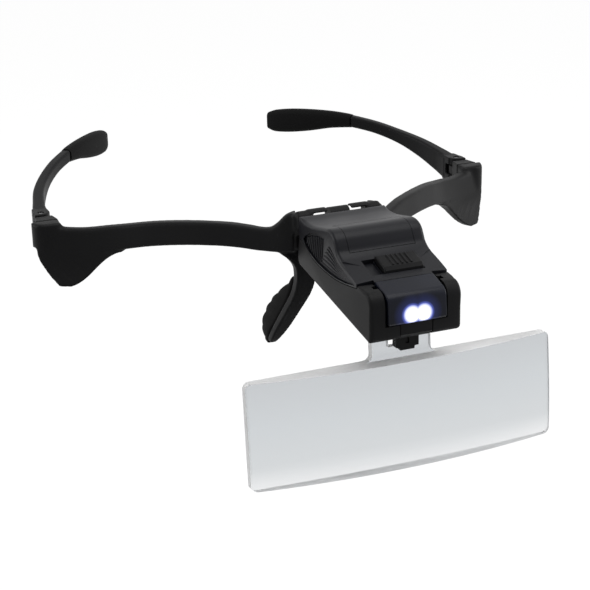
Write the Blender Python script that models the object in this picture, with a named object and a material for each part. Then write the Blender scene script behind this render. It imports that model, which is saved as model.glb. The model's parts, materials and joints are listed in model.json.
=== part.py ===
"""Glasses-type magnifier: a wrap-round frame with folding temples, and a tilting lamp housing with a lens.

The wearer looks along -Y, +X is the wearer's left and +Z is up. The origin is the middle of the
frame's bridge, where the nose carries it. Sizes below are in millimetres, and meshes are in metres.
"""

import math

import bmesh
import bpy
from mathutils import Matrix, Vector

MM = 0.001

# Clearances
TOUCH = 0.3
PIN_PLAY = 0.3

# How far a joined piece runs into its neighbour, and a cutter past what it cuts
SINK = 1.0
PAST = 3.0

# Size of the mark on each joint axis
AXIS_MARK = 5.0

# Brow bar of the frame: X, Y, top Z and bottom Z along its middle
BAR_THICK = 4.0
BAR_EDGE = 1.1
BAR_LEAN = 1.2
BAR_STEPS = 3
BAR_STATIONS = [
    (13.5, -0.6, 8.0, -4.6),
    (16.5, 1.0, 5.9, -4.6),
    (20.5, 4.6, 2.8, -4.9),
    (30.0, 13.4, 2.9, -4.4),
    (40.0, 22.4, 2.4, -5.1),
    (50.0, 32.0, 0.9, -6.9),
    (60.0, 42.0, -1.7, -9.8),
    (70.0, 49.6, -3.4, -10.9),
    (81.0, 56.0, -3.0, -10.6),
]
BAR_END = BAR_STATIONS[-1][:2]

# Bridge between the two halves of the bar
BRIDGE_FRONT = -1.2
BRIDGE_BACK = 3.2
BRIDGE_TOP = 1.8
BRIDGE_BOTTOM = -4.2
BRIDGE_HALF = 14.0

# Tilt hinge of the lamp housing, along X
HINGE_Y = -3.5
HINGE_Z = 6.4
HINGE_PIN_RADIUS = 0.6
HINGE_EAR_WALL = 1.5
HINGE_EAR_RADIUS = HINGE_PIN_RADIUS + PIN_PLAY + HINGE_EAR_WALL
HINGE_EAR_INNER = 8.0
HINGE_EAR_OUTER = 14.6
HINGE_EAR_SKIN = 1.5
KNUCKLE_WALL = 1.1
KNUCKLE_RADIUS = HINGE_PIN_RADIUS + PIN_PLAY + KNUCKLE_WALL
KNUCKLE_HALF = 3.3
HINGE_ARM_FOOT = -1.0
HINGE_ARM_GAP = 1.6

# Drop wing under each end of the bar: height, inner and outer reach along the bar, thickness, flare outwards
WING_STATIONS = [
    (-6.0, -21.8, -0.2, 3.4, 0.0),
    (-10.4, -23.5, 1.4, 3.4, 0.3),
    (-13.0, -20.6, 1.2, 3.2, 0.8),
    (-16.0, -17.8, -0.6, 3.0, 1.8),
    (-19.0, -15.0, -2.8, 2.8, 3.0),
    (-21.6, -11.6, -5.0, 2.6, 4.2),
    (-23.0, -8.6, -6.2, 2.0, 4.8),
]

# Nose legs: height, inner X, outer X, front Y, back Y
LEG_STATIONS = [
    (-3.2, 5.0, 20.0, 0.6, 2.9),
    (-5.2, 5.0, 18.2, 0.0, 2.9),
    (-7.7, 5.2, 15.3, -0.4, 2.9),
    (-10.7, 5.5, 13.3, -0.6, 2.9),
    (-15.0, 6.4, 13.0, -0.4, 3.0),
    (-20.0, 8.0, 14.0, 0.2, 3.6),
    (-26.0, 11.5, 16.8, 1.4, 4.8),
    (-31.5, 14.6, 19.3, 3.0, 6.2),
    (-35.4, 17.4, 20.5, 4.4, 7.4),
    (-37.0, 18.6, 20.4, 5.6, 7.6),
]

# Rubber pads behind the nose legs: height, inner X, outer X, back Y
PAD_STATIONS = [
    (-14.6, 9.0, 12.9, 4.4),
    (-17.8, 9.2, 13.6, 7.6),
    (-22.6, 10.6, 15.2, 13.2),
    (-26.0, 12.4, 16.8, 15.4),
    (-29.6, 14.4, 18.4, 16.4),
    (-33.5, 16.6, 20.2, 15.0),
    (-36.6, 18.0, 20.5, 12.0),
    (-37.8, 18.8, 20.4, 9.8),
]

# End blocks and temple hinges, along Z
BOSS_HALF = 3.9
BOSS_OVER_BAR = 4.0
BOSS_PAST_BAR = 2.0
BOSS_INSET = 2.0
BOSS_FRONT = BAR_END[1] - BOSS_OVER_BAR
BOSS_BACK = BAR_END[1] + BOSS_PAST_BAR
BOSS_TOP = -1.8
BOSS_BOTTOM = -10.4
BOSS_CORNER = 3.4
TONGUE_HALF = 1.8
TONGUE_DEPTH = 3.0
TONGUE_HEIGHT = 3.4
BLOCK_LENGTH = 3.7
TEMPLE_KNUCKLE_RADIUS = 3.6
TEMPLE_KNUCKLE_HEIGHT = 3.2
TEMPLE_PIN_RADIUS = 0.8
TEMPLE_PIVOT_X = BAR_END[0] - BOSS_INSET
TEMPLE_PIVOT_Y = BOSS_BACK + BLOCK_LENGTH + TEMPLE_KNUCKLE_RADIUS + 3 * TOUCH

# Temples: X from the pivot, Y from the temple's start behind its knuckle, middle Z, height
TEMPLE_THICK = 3.6
TEMPLE_EDGE = 0.9
TEMPLE_STEPS = 3
TEMPLE_START = TEMPLE_KNUCKLE_RADIUS + TOUCH
TEMPLE_STATIONS = [
    (-0.4, 0.0, -5.8, 9.0),
    (-1.4, 5.9, -4.6, 8.6),
    (-4.4, 15.9, -1.9, 6.8),
    (-8.8, 25.4, 0.8, 5.0),
    (-14.8, 34.4, 3.2, 4.4),
    (-21.4, 42.2, 4.7, 4.4),
]

# Rubber tips over the ends of the temples, with the same four numbers
TIP_THICK = 4.8
TIP_EDGE = 1.5
TIP_STATIONS = [
    (-21.6, 42.5, 4.7, 5.4),
    (-27.6, 49.9, 4.4, 6.8),
    (-33.2, 57.0, 3.3, 8.6),
    (-38.4, 64.1, 2.2, 9.4),
    (-42.7, 70.5, 1.2, 8.6),
    (-44.8, 73.9, 1.0, 5.4),
]
TANG_THICK = 1.8
TANG_HEIGHT = 2.4
TANG_EDGE = 0.4
TANG_REACH = 2

# Lamp housing, in two shells: pairs are Y and Z
HOUSING_HALF = 14.3
WALL = 1.5
FLOOR = 1.6
HOUSING_REAR = (-4.9, -7.0)
HOUSING_FRONT = (-59.4, -15.3)
PARTING_REAR = (-6.9, 2.8)
PARTING_FRONT = (-50.2, -0.8)
REAR_TOP = (-7.5, 5.6)
RIDGE_REAR = (-27.5, 10.4)
RIDGE = (-30.5, 10.7)
RIDGE_FRONT = (-33.4, 9.2)
HUMP_FOOT = (-35.8, 4.6)
SLOPE_FRONT = (-51.0, 0.6)
CHIN_BEVEL = 1.6

# Shoulders of the upper shell: inset from its sides, and height
SHOULDER = [(0.0, 1.0), (0.6, 8.0), (1.2, 9.6), (2.1, RIDGE[1])]

# Lamp bay between the ears of the lower shell
BAY_HALF = 10.0
BAY_BACK = -47.4
BAY_FLOOR = -10.8
EAR_TOP = -0.7
EAR_NOSE = (-58.4, -2.0)
EAR_NOSE_ROUND = 2.0
EAR_FACE = -4.2

# Battery door in the hump
DOOR_HALF = 10.7
DOOR_REAR_Y = -24.0
DOOR_FOOT_Z = 5.4

# Button cells across the housing, under the roof
CELL_RADIUS = 5.8
CELL_LENGTH = 5.4
CELL_RIM = 1.2
CELL_STEP = 1.0
CELL_COUNT = 3
CELL_Y = -20.0
CELL_SIDES = 32
CRADLE_SPREAD = 7.0
CRADLE_HALF = 4.0
CRADLE_THICK = 1.4
SPRING_WIRE = 0.35
SPRING_RADIUS = 3.4
SPRING_DROP = 1.2
SPRING_TURNS = 3
CONTACT_THICK = 0.5
CONTACT_HALF = 3.0
CONTACT_RISE = 3.5

# Sliding switch on the slope
SLIDER_LENGTH = 12.8
SLIDER_RISE = 1.4
SLIDER_EDGE = 0.8
SLIDER_TRAVEL = 3.8
RECESS_RIGHT = 8.4
RECESS_LEFT = RECESS_RIGHT - SLIDER_LENGTH - SLIDER_TRAVEL - 2 * TOUCH
RECESS_FRONT = -48.2
RECESS_BACK = -40.2
RECESS_DEPTH = 0.8
STEM_HALF = 1.1
STEM_REACH = 1.0
SWITCH_HEIGHT = 3.4
SWITCH_HALF = 5.5
SWITCH_INSET = 0.6

# Lamp head with two round lamps
LED_RADIUS = 2.1
LED_WEB = 0.4
LED_SPACING = 2 * LED_RADIUS + LED_WEB
LED_Z = -7.4
LED_BACK = -55.8
LED_FRONT = -61.8
LED_SIDES = 20
LAMP_HALF = BAY_HALF - 2 * TOUCH
LAMP_PIVOT = (-54.6, -4.0)
LAMP_BARREL = 3.2
LAMP_BEND = (-59.5, -1.5)
LAMP_CHIN = (-60.5, LED_Z - LED_RADIUS - LED_WEB)
LAMP_HEEL = (-57.2, LED_Z - LED_RADIUS - LED_WEB)
LAMP_PIN_RADIUS = 1.2
LAMP_PIN_LENGTH = 2.0
LIP_REACH = 0.8

# Lens: acrylic plate on a tab with two legs
LENS_WIDTH = 100.0
LENS_HEIGHT = 33.4
LENS_EDGE = 3.0
LENS_CROWN = 5.0
LENS_CORNER = 2.0
LENS_TILT = math.radians(4.5)
LENS_TOP_Y = -47.0
LENS_DROP = 9.9
LENS_TOP_Z = HOUSING_FRONT[1] - LENS_DROP
LENS_COLUMNS = 20
LENS_ROWS = 7
TAB_HALF = 9.65
TAB_THICK = 2.6
TAB_PROUD = 2.1
TAB_RISE = (BAY_FLOOR + TAB_PROUD - LENS_TOP_Z) / math.cos(LENS_TILT)
TAB_FLARE = 2.0

# Lens latch in front of the tab, in the gap between its legs
LATCH_HALF = 3.7
LATCH_TRAVEL = 0.8
LATCH_THICK = 2.5
LATCH_GAP = 0.5
LATCH_BACK = LENS_TOP_Y - TAB_THICK - LATCH_TRAVEL - LATCH_GAP
LATCH_FRONT = LATCH_BACK - LATCH_THICK
LATCH_FLANGE = 1.1
LATCH_FLANGE_HEIGHT = 1.2
LATCH_STEPS = [(0.0, 1.4), (1.2, 0.6), (1.6, 0.0)]
LATCH_GROOVE_HALF = 0.6
LATCH_GROOVE_DEPTH = 0.5
LATCH_GROOVE_FOOT = 2.0
NOTCH_HALF = LATCH_HALF + 2 * TOUCH
NOTCH_FOOT = 3.6
LATCH_FOOT = LENS_TOP_Z + NOTCH_FOOT * math.cos(LENS_TILT) + TOUCH

# Housing screws
SCREW_INSET = 4.1
SCREW_X = HOUSING_HALF - SCREW_INSET
SCREW_Y = -38.0
SCREW_RADIUS = 1.0
SCREW_HEAD_RADIUS = 1.9
SCREW_HEAD = 1.0
SCREW_LENGTH = 6.0
POST_WALL = 0.6
POST_RADIUS = SCREW_RADIUS + PIN_PLAY + POST_WALL
SCREW_BOSS_RADIUS = SCREW_HEAD_RADIUS + PIN_PLAY + POST_WALL
SCREW_BOSS = 3.4

# Circuit board between the screws
BOARD_HALF = SCREW_X - SCREW_BOSS_RADIUS - 2 * TOUCH
BOARD_LENGTH = 9.0
BOARD_THICK = 1.0
BOARD_GAP = 3.2


def clear_scene():
    for old in list(bpy.data.objects):
        bpy.data.objects.remove(old, do_unlink=True)


def plastic(name, colour, roughness, metallic=0.0, see_through=0.0):
    made = bpy.data.materials.new(name)
    made.use_nodes = True
    shader = made.node_tree.nodes["Principled BSDF"]
    shader.inputs["Base Color"].default_value = (*colour, 1.0)
    shader.inputs["Roughness"].default_value = roughness
    shader.inputs["Metallic"].default_value = metallic
    shader.inputs["Transmission Weight"].default_value = see_through
    return made


def body_from(name, work):
    """A new object from a bmesh that is in millimetres, with its faces pointing out."""
    bmesh.ops.recalc_face_normals(work, faces=work.faces[:])
    bmesh.ops.scale(work, vec=(MM, MM, MM), verts=work.verts[:])
    mesh = bpy.data.meshes.new(name)
    work.to_mesh(mesh)
    work.free()
    made = bpy.data.objects.new(name, mesh)
    bpy.context.scene.collection.objects.link(made)
    return made


def loft(name, rings):
    """A closed solid through rings of points, all with the same count."""
    work = bmesh.new()
    rows = [[work.verts.new(point) for point in ring] for ring in rings]
    count = len(rows[0])
    for row, following in zip(rows, rows[1:]):
        for i in range(count):
            j = (i + 1) % count
            work.faces.new((row[i], row[j], following[j], following[i]))
    work.faces.new(list(reversed(rows[0])))
    work.faces.new(rows[-1])
    return body_from(name, work)


def prism(name, outline, axis, low, high):
    """An outline pushed along one axis. Its two numbers are the other two axes, in X, Y, Z order."""
    index = "XYZ".index(axis)

    def ring(level):
        points = []
        for pair in outline:
            point = list(pair)
            point.insert(index, level)
            points.append(Vector(point))
        return points

    return loft(name, [ring(low), ring(high)])


def block(name, low, high):
    outline = [(low[0], low[1]), (high[0], low[1]), (high[0], high[1]), (low[0], high[1])]
    return prism(name, outline, "Z", low[2], high[2])


def rod(name, start, end, radius, sides=24):
    start = Vector(start)
    end = Vector(end)
    turn = (end - start).to_track_quat("Z", "Y")
    angles = [2 * math.pi * i / sides for i in range(sides)]
    circle = [turn @ Vector((radius * math.cos(a), radius * math.sin(a), 0)) for a in angles]
    return loft(name, [[place + spoke for spoke in circle] for place in (start, end)])


def apply(target, tool, operation):
    """Joins or cuts the target with a tool that is then removed."""
    step = target.modifiers.new(operation, "BOOLEAN")
    step.operation = operation
    step.solver = "EXACT"
    step.object = tool
    bpy.context.view_layer.update()
    graph = bpy.context.evaluated_depsgraph_get()
    result = bpy.data.meshes.new_from_object(target.evaluated_get(graph))
    target.modifiers.clear()
    target.data = result
    bpy.data.objects.remove(tool, do_unlink=True)
    return target


def join(target, *tools):
    for tool in tools:
        apply(target, tool, "UNION")
    return target


def cut(target, *tools):
    for tool in tools:
        apply(target, tool, "DIFFERENCE")
    return target


def finish(target, name, material, carrier=None):
    """Names a finished piece, gives it its material and hangs it on the empty at its joint."""
    target.name = name
    target.data.name = name
    target.data.materials.clear()
    target.data.materials.append(material)
    target.data.shade_smooth()
    target.data.set_sharp_from_angle(angle=math.radians(30))
    if carrier:
        target.parent = carrier
        target.matrix_parent_inverse = carrier.matrix_world.inverted()
    return target


def joint_empty(name, place):
    made = bpy.data.objects.new(name, None)
    made.location = Vector(place) * MM
    made.empty_display_size = AXIS_MARK * MM
    bpy.context.scene.collection.objects.link(made)
    bpy.context.view_layer.update()
    return made


def smooth_path(stations, steps):
    """Points on a smooth curve through the stations, with the same count of numbers in each."""
    points = [Vector(station) for station in stations]
    made = []
    for i in range(len(points) - 1):
        before = points[max(i - 1, 0)]
        after = points[min(i + 2, len(points) - 1)]
        leave = (points[i + 1] - before) / 2
        arrive = (after - points[i]) / 2
        for k in range(steps):
            t = k / steps
            made.append(
                (2 * t**3 - 3 * t**2 + 1) * points[i]
                + (t**3 - 2 * t**2 + t) * leave
                + (3 * t**2 - 2 * t**3) * points[i + 1]
                + (t**3 - t**2) * arrive
            )
    made.append(points[-1])
    return made


def side_normals(points):
    """Level unit vectors square to a path, to the right of its way on."""
    normals = []
    for i in range(len(points)):
        before = points[max(i - 1, 0)]
        after = points[min(i + 1, len(points) - 1)]
        along = Vector((after[0] - before[0], after[1] - before[1]))
        along.normalize()
        normals.append(Vector((along.y, -along.x, 0)))
    return normals


def bar_ring(place, normal, top, bottom, thick, edge, lean=0.0):
    """An eight-sided section: a tall box with its corners taken off."""
    half = thick / 2
    middle = (top + bottom) / 2
    pairs = [
        (half, bottom + edge),
        (half, top - edge),
        (half - edge, top),
        (edge - half, top),
        (-half, top - edge),
        (-half, bottom + edge),
        (edge - half, bottom),
        (half - edge, bottom),
    ]
    ring = []
    for out, height in pairs:
        shift = out - lean * (height - middle) / (top - bottom)
        point = place + normal * shift
        ring.append(Vector((point.x, point.y, height)))
    return ring


def on_line(start, end, y):
    """Height at one Y on the straight line through two (Y, Z) points."""
    share = (y - start[0]) / (end[0] - start[0])
    return start[1] + share * (end[1] - start[1])


def mirrored(rings, side):
    return [[Vector((side * point.x, point.y, point.z)) for point in ring] for ring in rings]


def between(stations, level):
    """The numbers of a list of stations at one level of their first number, on straight lines."""
    ordered = sorted(stations)
    for low, high in zip(ordered, ordered[1:]):
        if low[0] <= level <= high[0]:
            share = (level - low[0]) / (high[0] - low[0])
            return [a + (b - a) * share for a, b in zip(low, high)]
    return list(ordered[0] if level < ordered[0][0] else ordered[-1])


def arc(middle, radius, start, end, count):
    """Points on an arc, with its angles in degrees."""
    angles = [math.radians(start + (end - start) * i / (count - 1)) for i in range(count)]
    return [(middle[0] + radius * math.cos(a), middle[1] + radius * math.sin(a)) for a in angles]


def brow_bar(side):
    path = smooth_path(BAR_STATIONS, BAR_STEPS)
    normals = side_normals(path)
    rings = []
    for point, normal in zip(path, normals):
        place = Vector((point[0], point[1], 0))
        rings.append(bar_ring(place, normal, point[2], point[3], BAR_THICK, BAR_EDGE, BAR_LEAN))
    return loft("bar", mirrored(rings, side))


def wing(side):
    """A drop plate in line with the end of the bar, which shades the side of the eye."""
    last = Vector(BAR_STATIONS[-1][:2])
    before = Vector(BAR_STATIONS[-2][:2])
    along = (last - before).normalized()
    normal = Vector((along.y, -along.x))
    rings = []
    for height, inner, outer, thick, flare in WING_STATIONS:
        corners = [(inner, -1), (inner, 1), (outer, 1), (outer, -1)]
        ring = []
        for reach, face in corners:
            flat = last + along * reach + normal * (face * thick / 2 + flare)
            ring.append(Vector((flat.x, flat.y, height)))
        rings.append(ring)
    return loft("wing", mirrored(rings, side))


def upright(stations, side):
    """A solid through level boxes: height, inner X, outer X, front Y and back Y of each."""
    rings = []
    for height, inner, outer, front, back in stations:
        corners = [(inner, front), (outer, front), (outer, back), (inner, back)]
        rings.append([Vector((x, y, height)) for x, y in corners])
    return loft("upright", mirrored(rings, side))


def hinge_ear(side):
    outline = arc((HINGE_Y, HINGE_Z), HINGE_EAR_RADIUS, 215, 0, 13)
    outline += [(BRIDGE_BACK - TOUCH, BRIDGE_TOP - TOUCH), (BRIDGE_BACK - TOUCH, BRIDGE_TOP - 2 * SINK)]
    outline += [(BRIDGE_FRONT + TOUCH, BRIDGE_TOP - 2 * SINK), (BRIDGE_FRONT + TOUCH, BRIDGE_TOP - SINK)]
    low, high = sorted((side * HINGE_EAR_INNER, side * HINGE_EAR_OUTER))
    return prism("ear", outline, "X", low, high)


def end_boss(side):
    """The end of the bar that takes the hinge block, with its outer corner rounded."""
    inner = TEMPLE_PIVOT_X - BOSS_HALF
    outer = TEMPLE_PIVOT_X + BOSS_HALF
    outline = [(outer, BOSS_BACK), (inner, BOSS_BACK), (inner, BOSS_FRONT)]
    outline += arc((outer - BOSS_CORNER, BOSS_FRONT + BOSS_CORNER), BOSS_CORNER, 270, 360, 6)
    return prism("boss", [(side * x, y) for x, y in outline], "Z", BOSS_BOTTOM, BOSS_TOP)


def tongue(side, play, back):
    """The tongue of an end block, or with some play the socket that takes it."""
    middle = side * TEMPLE_PIVOT_X
    height = (BOSS_TOP + BOSS_BOTTOM) / 2
    half = TONGUE_HALF + play
    rise = TONGUE_HEIGHT / 2 + play
    low = (middle - half, BOSS_BACK - TONGUE_DEPTH - play, height - rise)
    high = (middle + half, back, height + rise)
    return block("tongue", low, high)


def hinge_rod(name, half, radius):
    """A rod on the tilt hinge's axis, reaching as far to either side."""
    return rod(name, (-half, HINGE_Y, HINGE_Z), (half, HINGE_Y, HINGE_Z), radius)


def front_frame(material):
    frame = block(
        "bridge",
        (-BRIDGE_HALF, BRIDGE_FRONT, BRIDGE_BOTTOM),
        (BRIDGE_HALF, BRIDGE_BACK, BRIDGE_TOP),
    )
    for side in (-1, 1):
        join(frame, hinge_ear(side), brow_bar(side), upright(LEG_STATIONS, side), end_boss(side), wing(side))
        cut(frame, tongue(side, TOUCH, BOSS_BACK + PAST))
    reach = HINGE_EAR_OUTER - HINGE_EAR_SKIN + PIN_PLAY
    cut(frame, hinge_rod("bore", reach, HINGE_PIN_RADIUS + PIN_PLAY))
    return finish(frame, "front_frame", material)


def tilt_hinge_pin(material):
    pin = hinge_rod("pin", HINGE_EAR_OUTER - HINGE_EAR_SKIN, HINGE_PIN_RADIUS)
    return finish(pin, "tilt_hinge_pin", material)


def nose_pad(side, name, material):
    """A rubber pad behind its leg, which lies on the side of the nose."""
    stations = []
    for height, inner, outer, back in PAD_STATIONS:
        leg_back = between(LEG_STATIONS, height)[4]
        stations.append((height, inner, outer, leg_back + TOUCH, back))
    return finish(upright(stations, side), name, material)


def temple_levels():
    """Bottom and top of the temple's front end, and of the frame's knuckle between its two leaves."""
    middle = TEMPLE_STATIONS[0][2]
    half = TEMPLE_STATIONS[0][3] / 2
    knuckle = TEMPLE_KNUCKLE_HEIGHT / 2
    return middle - half, middle - knuckle, middle + knuckle, middle + half


def temple_rod(name, side, low, high, radius):
    """A rod on the axis of one temple's hinge."""
    place = (side * TEMPLE_PIVOT_X, TEMPLE_PIVOT_Y)
    return rod(name, (*place, low), (*place, high), radius)


def hinge_block(side, name, material):
    bottom, knuckle_low, knuckle_high, top = temple_levels()
    middle = side * TEMPLE_PIVOT_X
    front = BOSS_BACK + TOUCH
    back = front + BLOCK_LENGTH
    body = block("block", (middle - BOSS_HALF, front, BOSS_BOTTOM), (middle + BOSS_HALF, back, BOSS_TOP))
    neck = block(
        "neck",
        (middle - TEMPLE_KNUCKLE_RADIUS, back - SINK, knuckle_low),
        (middle + TEMPLE_KNUCKLE_RADIUS, TEMPLE_PIVOT_Y, knuckle_high),
    )
    barrel = temple_rod("barrel", side, knuckle_low, knuckle_high, TEMPLE_KNUCKLE_RADIUS)
    join(body, tongue(side, 0.0, front + SINK), neck, barrel)
    cut(body, temple_rod("bore", side, bottom, top, TEMPLE_PIN_RADIUS + PIN_PLAY))
    return finish(body, name, material)


def temple_pin(side, name, material):
    bottom, _, _, top = temple_levels()
    pin = temple_rod("pin", side, bottom + TOUCH, top - TOUCH, TEMPLE_PIN_RADIUS)
    return finish(pin, name, material)


def temple_sweep(stations, thick, edge):
    path = smooth_path(stations, TEMPLE_STEPS)
    normals = side_normals(path)
    rings = []
    for point, normal in zip(path, normals):
        place = Vector((TEMPLE_PIVOT_X + point[0], TEMPLE_PIVOT_Y + TEMPLE_START + point[1], 0))
        top = point[2] + point[3] / 2
        bottom = point[2] - point[3] / 2
        rings.append(bar_ring(place, normal, top, bottom, thick, edge))
    return rings


def tang(play):
    """The thin end of a temple that its rubber tip is pushed over, or with some play the tip's pocket."""
    stations = [TEMPLE_STATIONS[-2], TEMPLE_STATIONS[-1]]
    stations += TIP_STATIONS[1 : 1 + TANG_REACH]
    slim = [(x, y, z, TANG_HEIGHT + 2 * play) for x, y, z, _ in stations]
    rings = temple_sweep(slim, TANG_THICK + 2 * play, TANG_EDGE)
    return rings[TEMPLE_STEPS - 1 :] if play else rings[TEMPLE_STEPS - 1 : -1]


def temple_arm(side, name, material, carrier):
    bottom, knuckle_low, knuckle_high, top = temple_levels()
    arm = loft("arm", mirrored(temple_sweep(TEMPLE_STATIONS, TEMPLE_THICK, TEMPLE_EDGE), side))
    join(arm, loft("tang", mirrored(tang(0.0), side)))
    middle = side * TEMPLE_PIVOT_X
    half = TEMPLE_THICK / 2
    reach = TEMPLE_PIVOT_Y + TEMPLE_START + 2 * SINK
    for low, high in ((bottom, knuckle_low - TOUCH), (knuckle_high + TOUCH, top)):
        leaf = temple_rod("leaf", side, low, high, TEMPLE_KNUCKLE_RADIUS)
        web = block("web", (middle - half, TEMPLE_PIVOT_Y, low), (middle + half, reach, high))
        join(arm, join(leaf, web))
    cut(arm, temple_rod("bore", side, bottom - PAST, top + PAST, TEMPLE_PIN_RADIUS + PIN_PLAY))
    return finish(arm, name, material, carrier)


def temple_tip(side, name, material, carrier):
    tip = loft("tip", mirrored(temple_sweep(TIP_STATIONS, TIP_THICK, TIP_EDGE), side))
    cut(tip, loft("pocket", mirrored(tang(TOUCH), side)))
    return finish(tip, name, material, carrier)


def floor_height(y):
    """The underside of the lower shell, which falls towards the front."""
    return on_line(HOUSING_REAR, HOUSING_FRONT, y)


def roof_height(y):
    """The top of the upper shell behind its hump."""
    return on_line(REAR_TOP, RIDGE_REAR, y)


def slope_height(y):
    """The top of the upper shell in front of its hump."""
    return on_line(HUMP_FOOT, SLOPE_FRONT, y)


def cell_height():
    """Z of the cells' axis, which hangs them just under the roof."""
    return roof_height(CELL_Y) - WALL - 2 * TOUCH - CELL_RADIUS


def lens_frame():
    """Places the lens: its own Z runs up its rear face, and its origin is at the middle of its top edge."""
    return Matrix.Translation(Vector((0, LENS_TOP_Y, LENS_TOP_Z))) @ Matrix.Rotation(-LENS_TILT, 4, "X")


def tab_slot():
    """The slot in the floor of the lower shell that takes the tab of the lens."""
    low = (-TAB_HALF - TOUCH, -TAB_THICK - TOUCH, 0)
    high = (TAB_HALF + TOUCH, TOUCH, TAB_RISE + PAST)
    return in_lens_frame(block("slot", low, high))


def in_lens_frame(piece):
    placed = lens_frame()
    placed.translation *= MM
    piece.data.transform(placed)
    return piece


def lamp_rod(name, half, radius):
    """A rod on the axis of the lamp head, reaching as far to either side."""
    return rod(name, (-half, *LAMP_PIVOT), (half, *LAMP_PIVOT), radius)


def tray_shell():
    front = HOUSING_FRONT[0]
    chin = front + CHIN_BEVEL
    outline = [
        HOUSING_REAR,
        PARTING_REAR,
        PARTING_FRONT,
        (PARTING_FRONT[0] - TOUCH, EAR_TOP),
        (EAR_NOSE[0] + EAR_NOSE_ROUND, EAR_TOP),
        EAR_NOSE,
        (front, EAR_FACE),
        (front, HOUSING_FRONT[1] + CHIN_BEVEL),
        (chin, floor_height(chin)),
    ]
    tray = prism("tray", outline, "X", -HOUSING_HALF, HOUSING_HALF)
    inner = HOUSING_HALF - WALL
    rear = PARTING_REAR[0] - WALL / 2
    over = RIDGE[1]
    cavity = [
        (rear, floor_height(rear) + FLOOR),
        (rear, over),
        (BAY_BACK, over),
        (BAY_BACK, floor_height(BAY_BACK) + FLOOR),
    ]
    cut(tray, prism("cavity", cavity, "X", -inner, inner))
    bay = block("bay", (-BAY_HALF, front - PAST, BAY_FLOOR), (BAY_HALF, BAY_BACK + SINK, over))
    return cut(tray, bay)


def latch_slot():
    room = LATCH_HALF + TOUCH
    low = (-room, LATCH_FRONT - TOUCH, LATCH_FOOT)
    high = (room, LENS_TOP_Y, BAY_FLOOR + SINK)
    return block("latch_slot", low, high)


def cell_cradle(x):
    """A rib across the floor with a round seat for the cells."""
    foot = floor_height(CELL_Y) + FLOOR / 2
    middle = cell_height()
    half = CRADLE_THICK / 2
    rib = block("rib", (x - half, CELL_Y - CRADLE_HALF, foot), (x + half, CELL_Y + CRADLE_HALF, middle))
    return cut(rib, cell_rod("seat", x - PAST, 2 * PAST, CELL_RADIUS + TOUCH))


def housing_tray(material, carrier):
    tray = tray_shell()
    cut(tray, tab_slot(), latch_slot())
    cut(tray, lamp_rod("pivot", LAMP_HALF + LAMP_PIN_LENGTH + TOUCH, LAMP_PIN_RADIUS + PIN_PLAY))
    join(tray, cell_cradle(-CRADLE_SPREAD), cell_cradle(CRADLE_SPREAD), hinge_arm())
    for side in (-1, 1):
        join(tray, screw_boss(side))
        cut(tray, *screw_hole(side))
    return finish(tray, "housing_tray", material, carrier)


def hinge_arm():
    """The knuckle behind the lower shell that turns on the tilt pin."""
    outline = arc((HINGE_Y, HINGE_Z), KNUCKLE_RADIUS, -60, 180, 15)
    outline += [
        (PARTING_REAR[0] + WALL / 2, PARTING_REAR[1]),
        (PARTING_REAR[0] - WALL / 4, PARTING_REAR[1] - SINK),
        (HOUSING_REAR[0] - WALL, HINGE_ARM_FOOT),
        (BRIDGE_FRONT - HINGE_ARM_GAP, HINGE_ARM_FOOT),
    ]
    arm = prism("arm", outline, "X", -KNUCKLE_HALF, KNUCKLE_HALF)
    return cut(arm, hinge_rod("bore", KNUCKLE_HALF + PAST, HINGE_PIN_RADIUS + PIN_PLAY))


def screw_rod(name, side, low, high, radius):
    """A rod on the axis of one housing screw, from and to heights above the floor's underside."""
    place = (side * SCREW_X, SCREW_Y)
    foot = floor_height(SCREW_Y)
    return rod(name, (*place, foot + low), (*place, foot + high), radius)


def screw_boss(side):
    return screw_rod("boss", side, FLOOR / 2, SCREW_BOSS, SCREW_BOSS_RADIUS)


def screw_hole(side):
    head = screw_rod("head", side, -PAST, SCREW_BOSS - WALL, SCREW_HEAD_RADIUS + PIN_PLAY)
    shank = screw_rod("shank", side, -PAST, SCREW_BOSS + PAST, SCREW_RADIUS + PIN_PLAY)
    return head, shank


def tray_screw(side, name, material, carrier):
    """A screw from below, through the lower shell into a post of the upper one."""
    seat = SCREW_BOSS - WALL - TOUCH
    head = screw_rod("head", side, seat - SCREW_HEAD, seat, SCREW_HEAD_RADIUS)
    shank = screw_rod("shank", side, seat - SCREW_HEAD / 2, seat + SCREW_LENGTH, SCREW_RADIUS)
    return finish(join(head, shank), name, material, carrier)


def cover_profile(inset):
    """Top of the upper shell in the YZ plane, from the rear to the foot of the hump."""
    return [
        (REAR_TOP[0] - inset, REAR_TOP[1] - inset),
        (RIDGE_REAR[0], RIDGE_REAR[1] - inset),
        (RIDGE[0] + inset * 0.2, RIDGE[1] - inset),
        (RIDGE_FRONT[0] + inset * 0.9, RIDGE_FRONT[1] - inset * 0.5),
        (HUMP_FOOT[0] + inset * 0.6, HUMP_FOOT[1] - inset),
    ]


def shoulder_prism(name, inset):
    half = [(HOUSING_HALF - step - inset, z) for step, z in SHOULDER]
    foot = floor_height(HOUSING_FRONT[0])
    outline = [(-half[0][0], foot)] + [(-x, z) for x, z in half] + [(x, z) for x, z in reversed(half)]
    outline.append((half[0][0], foot))
    return prism(name, outline, "Y", HOUSING_FRONT[0], 0.0)


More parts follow.
